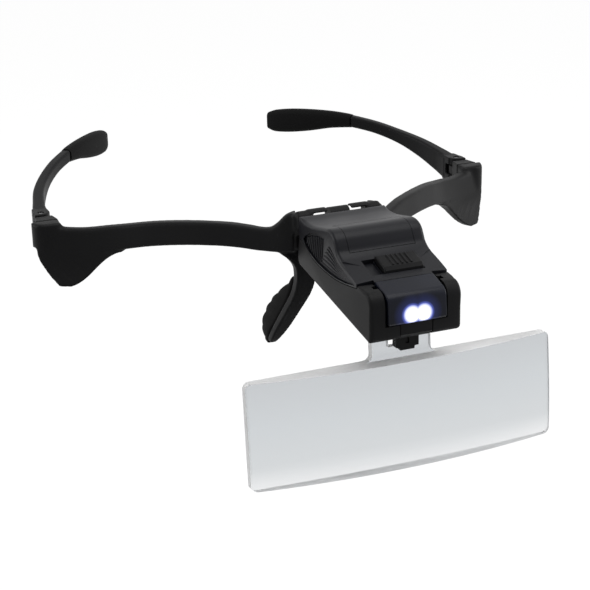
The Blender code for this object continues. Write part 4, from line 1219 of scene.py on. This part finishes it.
# %% Sizes of the upper shell
EDGE_ROUND = 1.2
EDGE_GROWTH = 0.25
SLOPE_MIDDLE = -45.0
COVER_FRONT = -49.9
HOLLOW_LOW = -7.0
HOLLOW_REAR_TOP = 5.4
LIP_HALF = 9.4
LIP_REAR = (-48.5, -0.8)
LIP_FRONT = -52.6
LIP_THICK = 1.0
LAMP_BARREL = 5.5
CREASE = ((9.8, -42.6), (4.6, -54.5))
FACET_FRONT_DROP = -0.9
FACET_REAR_DROP = -0.5
FACET_REAR_RUN = 4.5
FACET_TALL = 9.0
# The upper edge of the leaf. Its lower edge follows the parting line.
LEAF = [
    (-10.4, 2.4),
    (-11.7, 3.8),
    (-15.6, 5.8),
    (-20.5, 7.3),
    (-27.2, 7.8),
    (-31.6, 5.7),
    (-36.4, 2.7),
    (-42.5, 0.9),
    (-48.6, -0.7),
]
LEAF_DEPTH = 0.75
LEAF_RIM = 0.5
RECESS_X = (-8.8, 8.4)
RECESS_Y = (-48.2, -40.2)
RECESS_DEPTH = 0.8
TRAVEL_DEPTH = 1.3
SLIDER_X = (-4.7, 8.1)
STEM_X = (0.6, 2.8)
STEM_Y = (-45.3, -43.1)
SWITCH_TRAVEL = 3.8
POST_RADIUS = 1.9
POST_GAP = 3.7
POST_SINK = 0.7

print("switch travels", SWITCH_TRAVEL, "mm")

# %% Outline, hollow and lip


def cover_outline():
    """The upper shell from the side, as (y, z, edge radius)."""
    rear = HUMP[0][0]
    outline = [(y, z, min(EDGE_ROUND, EDGE_GROWTH + EDGE_GROWTH * (rear - y))) for y, z in hump_line()]
    outline += [(y, slope_height(y), radius) for y, radius in ((SLOPE_MIDDLE, 0.8), (COVER_FRONT, 0.3))]
    outline.append((COVER_FRONT, parting_height(COVER_FRONT) + SEAM, 0.2))
    return outline + [(y, z + SEAM, 0.2) for y, z in reversed(parting_line()) if y > COVER_FRONT + 1]


def cover_hollow():
    rear = PARTING_REAR[0] - WALL
    front = COVER_FRONT + WALL
    half = HOUSING_HALF - 2 * WALL
    hollow = [(rear, HOLLOW_LOW), (rear, HOLLOW_REAR_TOP)]
    hollow += [(y, z - WALL) for y, z in hump_line() if y < rear - WALL]
    hollow += [(front, slope_height(front) - WALL), (front, HOLLOW_LOW)]
    return solid("hollow", pushed(hollow, "X", -half, half))


def lamp_lip():
    """The thin lip of the slope over the lamp's barrel."""
    rear = LIP_REAR[0]
    top = slope_height(LIP_FRONT)
    outline = [(rear, slope_height(rear)), (LIP_FRONT, top), (LIP_FRONT, top - LIP_THICK), LIP_REAR]
    return solid("lip", pushed(outline, "X", -LIP_HALF, LIP_HALF))


print("outline has", len(cover_outline()), "points")

# %% Cuts of the upper shell


def corner_facet(side):
    """A wedge that takes a shallow facet off the front corner of the slope, along a slanting crease."""
    start, end = CREASE
    outer = HOUSING_HALF + 1.0
    ring = [(*start, 0.0), (*end, 0.0)]
    ring += [(outer, end[1], FACET_FRONT_DROP), (outer, start[1] + FACET_REAR_RUN, FACET_REAR_DROP)]
    low = [Vector((side * x, y, slope_height(y) + drop)) for x, y, drop in ring]
    return solid("facet", [low, [point + Vector((0, 0, FACET_TALL)) for point in low]])


def leaf_pocket(side):
    """A shallow pocket in the shell's side, in the shape of a leaf."""
    low = [(y, parting_height(y) + LEAF_RIM) for y, _ in reversed(LEAF)]
    rings = pushed(LEAF + low[1:-1], "X", HOUSING_HALF - LEAF_DEPTH, HOUSING_HALF + 2)
    return solid("pocket", mirrored(rings, side))


def slope_pocket(depth, left, right):
    """A cutter for a pocket of even depth in the slope, as long as the slider's recess."""
    front, back = RECESS_Y
    outline = [(front, 3.0), (back, 3.0), (back, -depth), (front, -depth)]
    raised = [(y, slope_height(y) + lift) for y, lift in outline]
    return solid("recess", pushed(raised, "X", left, right))


def stem_slot():
    low = (STEM_X[0] - SWITCH_TRAVEL - TOUCH, STEM_Y[0] - TOUCH, -5.0)
    return solid("stem_slot", block(low, (STEM_X[1] + TOUCH, STEM_Y[1] + TOUCH, 6.0)))


print("leaf pockets are", LEAF_DEPTH, "mm deep")

# %% Upper shell


def upper_shell():
    shell = solid("upper_shell", cushion_prism(cover_outline(), HOUSING_HALF, 6))
    cut(shell, cover_hollow())
    join(shell, lamp_lip())
    cut(shell, cross_rod("barrel_room", LIP_HALF + TOUCH, LAMP_PIVOT, LAMP_BARREL + SEAM, 96))
    hole_half = DOOR_HALF + DOOR_PLAY
    cut(shell, solid("door_hole", pushed(door_outline(DOOR_PLAY, 1.0), "X", -hole_half, hole_half)))
    cut(shell, corner_facet(-1), corner_facet(1), leaf_pocket(-1), leaf_pocket(1))
    cut(shell, slope_pocket(RECESS_DEPTH, *RECESS_X), stem_slot())
    cut(shell, slope_pocket(TRAVEL_DEPTH, RECESS_X[0], SLIDER_X[0] - TOUCH))
    foot = floor_height(SCREW_Y) + POST_GAP
    top = slope_height(SCREW_Y) - POST_SINK
    for side in (-1, 1):
        join(shell, solid("post", rod(screw_place(side, foot), screw_place(side, top), POST_RADIUS)))
    return shell


dress(upper_shell(), polished_abs, "housing", ["housing_cover"])
dress(door, polished_abs, "door", ["battery_door"])

# %% [markdown]
# Some details repeat: long ribs that run together on the housing's shoulders, grip ridges on the switch,
# screws, and the turns of the battery spring. Geometry Nodes make them. One function hands a tree its
# inputs by identifier, takes the finished mesh out and removes the modifier.

# %% Geometry Nodes helpers


def new_tree(name, inputs):
    tree = bpy.data.node_groups.new(name, "GeometryNodeTree")
    tree.interface.new_socket("Geometry", in_out="INPUT", socket_type="NodeSocketGeometry")
    for title, kind in inputs:
        tree.interface.new_socket(title, in_out="INPUT", socket_type=kind)
    tree.interface.new_socket("Geometry", in_out="OUTPUT", socket_type="NodeSocketGeometry")
    source = add_node(tree, "NodeGroupInput")
    return tree, source


def end_tree(tree, geometry, material):
    """Every tree ends by realising its instances and setting the material."""
    real = add_node(tree, "GeometryNodeRealizeInstances", links={"Geometry": geometry})
    sources = {"Geometry": real.outputs["Geometry"], "Material": material}
    painted = add_node(tree, "GeometryNodeSetMaterial", links=sources)
    add_node(tree, "NodeGroupOutput", links={"Geometry": painted.outputs["Geometry"]})


def grow(name, mesh, tree, values):
    """A new object whose mesh is what the tree makes of a starting mesh."""
    made = bpy.data.objects.new(name, mesh)
    bpy.context.scene.collection.objects.link(made)
    step = made.modifiers.new("grow", "NODES")
    step.node_group = tree
    for item in tree.interface.items_tree:
        if item.in_out == "INPUT" and item.name in values:
            step[item.identifier] = values[item.name]
    return bake(made)


print("trees can be grown into meshes")

# %% Round bars along lines
BAR_SIDES = 10


def polyline_mesh(name, lines):
    """A mesh of edges through rows of points in millimetres."""
    mesh = bpy.data.meshes.new(name)
    points = [Vector(point) * MM for line in lines for point in line]
    edges = []
    start = 0
    for line in lines:
        edges += [(start + i, start + i + 1) for i in range(len(line) - 1)]
        start += len(line)
    mesh.from_pydata(points, edges, [])
    return mesh


def wire_tree():
    """Sweeps a round bar along every line of the starting mesh."""
    inputs = [("Radius", "NodeSocketFloat"), ("Sides", "NodeSocketInt"), ("Finish", "NodeSocketMaterial")]
    tree, source = new_tree("bars_along_lines", inputs)
    given = source.outputs
    curve = add_node(tree, "GeometryNodeMeshToCurve", links={"Mesh": given["Geometry"]})
    round_bar = {"Radius": given["Radius"], "Resolution": given["Sides"]}
    profile = add_node(tree, "GeometryNodeCurvePrimitiveCircle", links=round_bar)
    lines = {"Curve": curve.outputs["Curve"], "Profile Curve": profile.outputs["Curve"]}
    swept = add_node(tree, "GeometryNodeCurveToMesh", {"Fill Caps": True}, lines)
    end_tree(tree, swept.outputs["Mesh"], given["Finish"])
    return tree


bars_along_lines = wire_tree()


def grow_bars(name, lines, radius, finish):
    """Round bars along rows of points, all in one mesh."""
    sizes = {"Radius": radius * MM, "Sides": BAR_SIDES, "Finish": finish}
    return grow(name, polyline_mesh(name, lines), bars_along_lines, sizes)


print("tree ready:", bars_along_lines.name)

# %% [markdown]
# A leaf of ribs lies in a shallow pocket on each side of the upper shell. Long ribs run forward and close
# up to a point at the lamp's ear, and short slanted ribs fill the rear. Only their lines are worked out
# here, each at its own share of the leaf's height. The tree makes them round.

# %% Ribs on the shoulders
RIB_RADIUS = 0.34
RIB_X = HOUSING_HALF - LEAF_DEPTH
RIB_LOW_GAP = 0.8
RIB_TOP_GAP = 0.35
LONG_RIBS = 7
LONG_START = -22.5
LONG_STEP = -1.2
LONG_END = -47.4
LONG_POINTS = 25
LONG_SHARE = (0.06, 0.88)
SHORT_RIBS = 9
SHORT_START = -11.8
SHORT_STEP = -1.35
SHORT_LEAN = -1.6
SHORT_POINTS = 7
SHORT_SHARE = (0.05, 0.85)


def shares(first, span, count):
    """Even steps that start at a first value and cover a span."""
    return [first + span * i / (count - 1) for i in range(count)]


def rib_point(side, y, share):
    """A place in the leaf, at a share of the way from its lower edge to its upper one."""
    low = parting_height(y) + RIB_LOW_GAP
    tall = max(0.0, height_on(LEAF, y) - RIB_TOP_GAP - low)
    return (side * RIB_X, y, low + share * tall)


def leaf_lines(side):
    lines = []
    for rib, share in enumerate(shares(*LONG_SHARE, LONG_RIBS)):
        start = LONG_START + LONG_STEP * rib
        lines.append([rib_point(side, y, share) for y in shares(start, LONG_END - start, LONG_POINTS)])
    for rib in range(SHORT_RIBS):
        foot = SHORT_START + SHORT_STEP * rib
        rising = shares(*SHORT_SHARE, SHORT_POINTS)
        lines.append([rib_point(side, foot + SHORT_LEAN * share, share) for share in rising])
    return lines


ribs = grow_bars("shoulder_ribs", leaf_lines(-1) + leaf_lines(1), RIB_RADIUS, polished_abs)
dress(ribs, polished_abs, "housing", [])

# %% [markdown]
# The switch slider is a small slab with a row of grip ridges across its middle. It is drawn slid to the
# wearer's left, which is on. A stem below it passes through the slot in the shell to the switch.

# %% Switch slider
SLIDER_RISE = 1.4
SLIDER_MIDDLE = sum(SLIDER_X) / 2
SLIDER_HALF = (SLIDER_X[1] - SLIDER_X[0]) / 2
STEM_Z = (0.4, 3.0)
RIDGES = 5
RIDGE_PITCH = 1.5
RIDGE_RADIUS = 0.36
RIDGE_SINK = 0.05
RIDGE_Y = (RECESS_Y[0] + 1.6, RECESS_Y[1] - 1.4)


def slider_outline():
    """The slider from the side, as (y, z, edge radius), measured from the slope."""
    front = RECESS_Y[0] + TOUCH
    back = RECESS_Y[1] - TOUCH
    low = TOUCH - RECESS_DEPTH
    points = [(front, low, 0.1), (back, low, 0.1)]
    points += [(back, SLIDER_RISE - 0.5, 0.4), (back - 0.8, SLIDER_RISE, 0.5)]
    points += [(front + 0.9, SLIDER_RISE, 0.5), (front, SLIDER_RISE - 0.8, 0.4)]
    return [(y, slope_height(y) + lift, radius) for y, lift, radius in points]


def ridge_line(ridge):
    x = SLIDER_MIDDLE + RIDGE_PITCH * (ridge - (RIDGES - 1) / 2)
    return [(x, y, slope_height(y) + SLIDER_RISE - RIDGE_SINK) for y in RIDGE_Y]


slider = solid("switch_knob", cushion_prism(slider_outline(), SLIDER_HALF, 4))
slider.data.transform(Matrix.Translation(Vector((SLIDER_MIDDLE * MM, 0, 0))))
stem_low, stem_high = zip(STEM_X, STEM_Y, STEM_Z)
join(slider, solid("stem", block(stem_low, stem_high)))
dress(slider, satin_abs, "switch", ["switch_slider"])
ridge_lines = [ridge_line(ridge) for ridge in range(RIDGES)]
ridges = grow_bars("switch_ridges", ridge_lines, RIDGE_RADIUS, satin_abs)
dress(ridges, satin_abs, "switch", [])

# %% [markdown]
# The lamp head hangs between the ears on two stub pins. Its barrel is round about the pins, so that it
# turns under the slope's lip, its face leans a little, and two lamps look out of it. A lamp is a rod with
# a domed end, made of rings like a turned part.

# %% Lamp head and lamps
LAMP_HALF = 9.4
LAMP_ARC = (-75, 54.5)
LAMP_BROW_Y = (-57.6, -58.4)
LAMP_FACE = [(-59.4, -2.0), (-59.9, -2.9), (-60.0, -3.6), (-60.5, -9.6), (-60.1, -10.2)]
LAMP_FOOT = (-57.2, -10.2)
LED_BACK = -55.8
LED_FRONT = -61.8
LED_PLAY = 0.08
LED_SIDES = 40
LED_DOME_STEP = 5


def lamp_head():
    outline = [(y, z, 0.4) for y, z in arc(LAMP_PIVOT, LAMP_BARREL, *LAMP_ARC, 25)]
    outline += [(y, slope_height(y), 0.4) for y in LAMP_BROW_Y]
    outline += [(y, z, 0.5) for y, z in LAMP_FACE]
    outline.append((*LAMP_FOOT, 0.4))
    head = solid("lamp_pod", cushion_prism(outline, LAMP_HALF))
    join(head, cross_rod("pins", LAMP_PIN_REACH, LAMP_PIVOT, LAMP_PIN))
    for x, z in LED_CENTRES:
        bore = rod((x, LED_BACK + TOUCH, z), (x, LED_FRONT - 3, z), LED_RADIUS + LED_PLAY)
        cut(head, solid("bore", bore))
    return head


def led_rings(x, z):
    stations = [(LED_BACK, LED_RADIUS)]
    for lift in range(0, 86, LED_DOME_STEP):
        angle = math.radians(lift)
        stations.append((LED_FRONT + LED_RADIUS * (1 - math.sin(angle)), LED_RADIUS * math.cos(angle)))
    angles = [2 * math.pi * k / LED_SIDES for k in range(LED_SIDES)]
    return [[Vector((x + r * math.cos(a), y, z + r * math.sin(a))) for a in angles] for y, r in stations]


dress(lamp_head(), lamp_plastic, "lamp", ["lamp_head"])
for (x, z), word in zip(LED_CENTRES, ("right", "left")):
    lamp = solid(f"lamp_{word}", led_rings(x, z))
    dress(lamp, lamp_glow, "lamp", [f"led_{word}"], sharp=50)

# %% [markdown]
# A stepped latch hangs in front of the lens's tab, and its finger plate fills a gap in the housing's chin.
# It is an outline pushed from front to back, with the plate joined on.

# %% Latch
LATCH_FOOT = -21.3
LATCH_SHOULDER = 4.8
LATCH_SHOULDER_TALL = 1.2
LATCH_TOE = [(0.0, 1.0), (-1.3, 0.9), (-1.4, 0.0)]
GROOVE_HALF = 0.6
GROOVE_DEPTH = 0.5
GROOVE_Z = (LATCH_FOOT + 2, -14.6)
NECK_Z = (-14.4, -12.0)
PLATE_TOP = BAY_FLOOR + 0.2


def latch_tongue():
    seat = BAY_FLOOR + TOUCH
    half = [(LATCH_SHOULDER, seat + LATCH_SHOULDER_TALL), (LATCH_SHOULDER, seat), (LATCH_HALF, seat)]
    half += [(LATCH_HALF + x, LATCH_FOOT + z) for x, z in LATCH_TOE]
    outline = half + [(-x, z) for x, z in reversed(half)]
    tongue = solid("lens_catch", pushed(outline, "Y", *LATCH_Y))
    front = LATCH_Y[0]
    low = (-GROOVE_HALF, front - 3, GROOVE_Z[0])
    return cut(tongue, solid("groove", block(low, (GROOVE_HALF, front + GROOVE_DEPTH, GROOVE_Z[1]))))


def latch():
    """A tongue with a stepped foot behind, and a finger plate that fills the gap in the chin."""
    front, low = HOUSING_FRONT
    chin = front + CHIN_RUN
    rear = LATCH_ROOM - 1.0
    plate = [(front, PLATE_TOP, 0.3), (front, low + CHIN_RISE, 0.4), (chin, floor_height(chin), 0.4)]
    plate += [(rear, floor_height(rear), 0.3), (rear, PLATE_TOP, 0.3)]
    neck = block((-LATCH_HALF, rear - 1, NECK_Z[0]), (LATCH_HALF, LATCH_Y[0] + 1, NECK_Z[1]))
    return join(latch_tongue(), solid("neck", neck), solid("plate", cushion_prism(plate, LATCH_PLATE)))


dress(latch(), satin_abs, "latch", ["lens_latch"])

# %% [markdown]
# The lens is a plate with a flat back and a domed front. Rings of a rounded rectangle, from the rim to the
# middle, follow the dome as a rule, so the lens has no flat facets to break its refraction. The faces that
# look sideways, round the rim and the tab, get the sawn finish.

# %% Shape of the lens
LENS_HALF = 50.0
LENS_HEIGHT = 33.4
LENS_EDGE = 3.0
LENS_CROWN = 5.0
LENS_CORNER = 2.0
LENS_CHAMFER = 0.35
LENS_RINGS = 24
LENS_BACK_SHARES = (1 - LENS_CHAMFER / LENS_HALF, 0.5, 0.02)
RIM_PITCH = 1.7
TAB_FLARE = 2.0
TAB_RISE = 16.6
TAB_ROOT = -1.5
TAB_SINK = 0.05
TAB_GAP = (4.3, 3.6)


def crown(x, z):
    """How far the dome stands in front of the plate. It comes down to nothing at the four corners."""
    span = (x / LENS_HALF) ** 2 + (z / LENS_HALF) ** 2
    corner = 1 + (LENS_HEIGHT / 2 / LENS_HALF) ** 2
    return LENS_CROWN * max(0.0, corner - span)


def lens_rim():
    """The lens's outline, with points at an even pitch."""
    rim = round_box(LENS_HALF, LENS_HEIGHT / 2, LENS_CORNER, 6)
    dense = []
    for i, (x, z) in enumerate(rim):
        following = rim[(i + 1) % len(rim)]
        parts = max(1, round((Vector(following) - Vector((x, z))).length / RIM_PITCH))
        for k in range(parts):
            dense.append((x + (following[0] - x) * k / parts, z + (following[1] - z) * k / parts))
    return dense


def domed_ring(rim, share, sink=0.0):
    """The rim drawn in to a share of its size, on the dome or a little behind it."""
    inner = [(x * share, z * share) for x, z in rim]
    return [Vector((x, sink - LENS_EDGE - crown(x, z), z)) for x, z in inner]


def lens_plate():
    rim = lens_rim()
    rings = []
    for ring in reversed(range(LENS_RINGS)):
        rings.append(domed_ring(rim, (1 - ring / LENS_RINGS) * (1 - LENS_CHAMFER / LENS_HALF)))
    rings.append(domed_ring(rim, 1.0, LENS_CHAMFER))
    rings.append([Vector((x, -LENS_CHAMFER, z)) for x, z in rim])
    for share in LENS_BACK_SHARES:
        rings.append([Vector((x * share, 0, z * share)) for x, z in rim])
    drop = Vector((0, 0, LENS_HEIGHT / 2))
    return solid("acrylic_lens", [[point - drop for point in ring] for ring in rings])


def lens_tab():
    """The tab that goes up into the housing, with a gap for the latch and flared feet."""
    root = TAB_HALF + TAB_FLARE
    gap, foot = TAB_GAP
    half = [(root, TAB_ROOT)] + arc((root, TAB_FLARE), TAB_FLARE, 270, 180, 9)
    half += [(TAB_HALF, TAB_RISE), (gap, TAB_RISE), (gap, foot)]
    outline = half + [(-x, z) for x, z in reversed(half)]
    return solid("tab", pushed(outline, "Y", -TAB_THICK, -TAB_SINK))


print("rim has", len(lens_rim()), "points")

# %% Lens
SIDEWAYS = 0.5

lens = join(lens_plate(), lens_tab())
sawn = [abs(face.normal.y) < SIDEWAYS for face in lens.data.polygons]
dress(in_lens_frame(lens), acrylic, "lens", ["lens"], sharp=25)
lens.data.materials.append(lens_edge)
lens.data.polygons.foreach_set("material_index", [int(edge) for edge in sawn])

# %% [markdown]
# Two cross-head screws hold the shells together from below. They are one small mesh, set on two points.

# %% Screws under the housing
SCREW_LIFT = 1.6
SCREW_HEAD = (1.9, 1.0)
SCREW_SHANK = (1.0, 5.0)
CROSS = (1.2, 0.25)
CROSS_DEPTH = 0.55


def screw_mesh():
    """Head and shank, each a (radius, length), with a cross cut into the head from below."""
    seat = floor_height(SCREW_Y) + SCREW_LIFT
    foot = seat - SCREW_HEAD[1]
    head = rod((0, 0, foot), (0, 0, seat), SCREW_HEAD[0], 24)
    shank = rod((0, 0, seat), (0, 0, seat + SCREW_SHANK[1]), SCREW_SHANK[0], 16)
    made = solid("screw", head, shank)
    for x, y in (reversed(CROSS), CROSS):
        cut(made, solid("cross", block((-x, -y, foot - 1), (x, y, foot + CROSS_DEPTH))))
    return made


def screw_tree():
    inputs = [("Screw", "NodeSocketObject"), ("Finish", "NodeSocketMaterial")]
    tree, source = new_tree("screws_on_points", inputs)
    info = add_node(tree, "GeometryNodeObjectInfo", links={"Object": source.outputs["Screw"]})
    sources = {"Points": source.outputs["Geometry"], "Instance": info.outputs["Geometry"]}
    placed = add_node(tree, "GeometryNodeInstanceOnPoints", links=sources)
    end_tree(tree, placed.outputs["Instances"], source.outputs["Finish"])
    return tree


one_screw = screw_mesh()
spots = bpy.data.meshes.new("screw_spots")
spots.from_pydata([Vector(screw_place(side, 0)) * MM for side in (-1, 1)], [], [])
screws = grow("housing_screws", spots, screw_tree(), {"Screw": one_screw, "Finish": steel})
bpy.data.objects.remove(one_screw, do_unlink=True)
dress(screws, steel, "housing", ["tray_screw_left", "tray_screw_right"])

# %% [markdown]
# The battery spring is a helix of thin wire, which is again a bar along a line.

# %% Battery spring
SPRING_AXIS = (-20.0, -0.5)
SPRING_X = (8.98, 12.15)
SPRING_TURNS = 3
SPRING_STEPS = 24
SPRING_RADIUS = 3.4
SPRING_WIRE = 0.33

helix = []
for i in range(SPRING_TURNS * SPRING_STEPS + 1):
    turn = 2 * math.pi * i / SPRING_STEPS
    x = SPRING_X[0] + (SPRING_X[1] - SPRING_X[0]) * i / (SPRING_TURNS * SPRING_STEPS)
    y = SPRING_AXIS[0] + SPRING_RADIUS * math.cos(turn)
    helix.append((x, y, SPRING_AXIS[1] + SPRING_RADIUS * math.sin(turn)))
spring = grow_bars("cell_spring", [helix], SPRING_WIRE, steel)
dress(spring, steel, "housing", ["battery_spring"])

# %% [markdown]
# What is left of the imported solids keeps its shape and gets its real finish.

# %% Finish of the remaining solids
KEPT = {
    "tilt_hinge_pin": blackened_steel,
    "temple_pin_left": steel,
    "temple_pin_right": steel,
    "button_cell_1": steel,
    "button_cell_2": steel,
    "button_cell_3": steel,
    "battery_contact": nickel,
    "circuit_board": board_green,
    "switch_body": satin_abs,
}
for name, material in KEPT.items():
    mesh = frame["nodes"][name].data
    mesh.materials.clear()
    mesh.materials.append(material)
print("kept solids:", len(KEPT))

# %% [markdown]
# The light is a plain studio: a white sweep below and behind, a large soft light overhead, one from the
# left rear and one from the right front. The sweep is seen white by the camera, by reflections and through
# the lens. It stays plain paper for the light that falls on the object, and it still takes a soft shadow,
# because a share of what is seen is the paper itself.

# %% White ground
FLOOR_Z = -0.20
SWEEP_HALF = 3.0
GLOW_SHARE = 0.85
GLOW_STRENGTH = 1.14


def seen_rays(tree):
    """1 for what is seen straight, in a reflection or through the lens, and 0 for light on the object."""
    path = add_node(tree, "ShaderNodeLightPath").outputs
    pair = {0: path["Is Camera Ray"], 1: path["Is Glossy Ray"]}
    either = add_node(tree, "ShaderNodeMath", links=pair, operation="MAXIMUM")
    more = {0: either.outputs[0], 1: path["Is Transmission Ray"]}
    return add_node(tree, "ShaderNodeMath", links=more, operation="MAXIMUM").outputs[0]


def white_ground():
    made = bpy.data.materials.new("white_paper_sweep")
    made.use_nodes = True
    tree = made.node_tree
    tree.nodes.clear()
    share = add_node(tree, "ShaderNodeMath", {1: GLOW_SHARE}, {0: seen_rays(tree)}, operation="MULTIPLY")
    paper = add_node(tree, "ShaderNodeBsdfDiffuse", {"Color": from_hex("#e0e0e0")})
    glow = add_node(tree, "ShaderNodeEmission", {"Color": (1, 1, 1, 1), "Strength": GLOW_STRENGTH})
    parts = {0: share.outputs[0], 1: paper.outputs[0], 2: glow.outputs[0]}
    both = add_node(tree, "ShaderNodeMixShader", links=parts)
    add_node(tree, "ShaderNodeOutputMaterial", links={"Surface": both.outputs[0]})
    return made


floor_mesh = bpy.data.meshes.new("studio_floor")
corners = ((-1, -1), (1, -1), (1, 1), (-1, 1))
floor_mesh.from_pydata([(SWEEP_HALF * x, SWEEP_HALF * y, FLOOR_Z) for x, y in corners], [], [(0, 1, 2, 3)])
studio_floor = bpy.data.objects.new("studio_floor", floor_mesh)
bpy.context.scene.collection.objects.link(studio_floor)
floor_mesh.materials.append(white_ground())
print("floor at", FLOOR_Z, "m")

# %% Sky and soft lights
AIR_LIGHT = 0.06

world = bpy.data.worlds.new("studio")
bpy.context.scene.world = world
world.use_nodes = True
sky = world.node_tree
sky.nodes.clear()
dim = add_node(sky, "ShaderNodeMapRange", {"To Min": AIR_LIGHT, "To Max": 1.0}, {"Value": seen_rays(sky)})
air = add_node(sky, "ShaderNodeBackground", {"Color": (1, 1, 1, 1)}, {"Strength": dim.outputs["Result"]})
add_node(sky, "ShaderNodeOutputWorld", links={"Surface": air.outputs[0]})


def soft_light(name, place, size, power):
    """A soft box at a place in metres, turned towards the object."""
    data = bpy.data.lights.new(name, "AREA")
    data.shape = "RECTANGLE"
    data.size, data.size_y = size
    data.energy = power
    lamp = bpy.data.objects.new(name, data)
    lamp.location = place
    lamp.rotation_mode = "QUATERNION"
    lamp.rotation_quaternion = (-Vector(place)).to_track_quat("-Z", "Y")
    bpy.context.scene.collection.objects.link(lamp)


soft_light("overhead", (0.1, -0.15, 0.9), (0.9, 0.7), 5.5)
soft_light("left_side", (-0.9, 0.4, 0.35), (0.6, 0.6), 4.0)
soft_light("right_side", (0.9, -0.3, 0.3), (0.5, 0.7), 5.5)
print("studio ready")

# %% [markdown]
# The camera stands to the wearer's right, a little above, about half a metre away. Its lens is long, so
# the frame's two halves keep almost the same size.

# %% Camera
CAMERA_PLACE = Vector((-193.84, -446.20, 155.51)) * MM
CAMERA_AZIMUTH = math.radians(-21.981)
CAMERA_LIFT = math.radians(20.0)
CAMERA_ROLL = math.radians(-1.315)
LENS_LENGTH = 97.63

back = Vector((
    math.sin(CAMERA_AZIMUTH) * math.cos(CAMERA_LIFT),
    -math.cos(CAMERA_AZIMUTH) * math.cos(CAMERA_LIFT),
    math.sin(CAMERA_LIFT),
))
level = Vector((math.cos(CAMERA_AZIMUTH), math.sin(CAMERA_AZIMUTH), 0))
upright = back.cross(level)
right = level * math.cos(CAMERA_ROLL) + upright * math.sin(CAMERA_ROLL)
above = upright * math.cos(CAMERA_ROLL) - level * math.sin(CAMERA_ROLL)
turn = Matrix((right, above, back)).transposed()
camera_data = bpy.data.cameras.new("camera")
camera_data.lens = LENS_LENGTH
camera_data.sensor_width = 36.0
camera_data.clip_start = 0.01
camera = bpy.data.objects.new("camera", camera_data)
camera.matrix_world = Matrix.Translation(CAMERA_PLACE) @ turn.to_4x4()
bpy.context.scene.collection.objects.link(camera)
bpy.context.scene.camera = camera
bpy.context.scene.view_settings.view_transform = "Standard"
print("camera at", [round(v, 3) for v in CAMERA_PLACE])
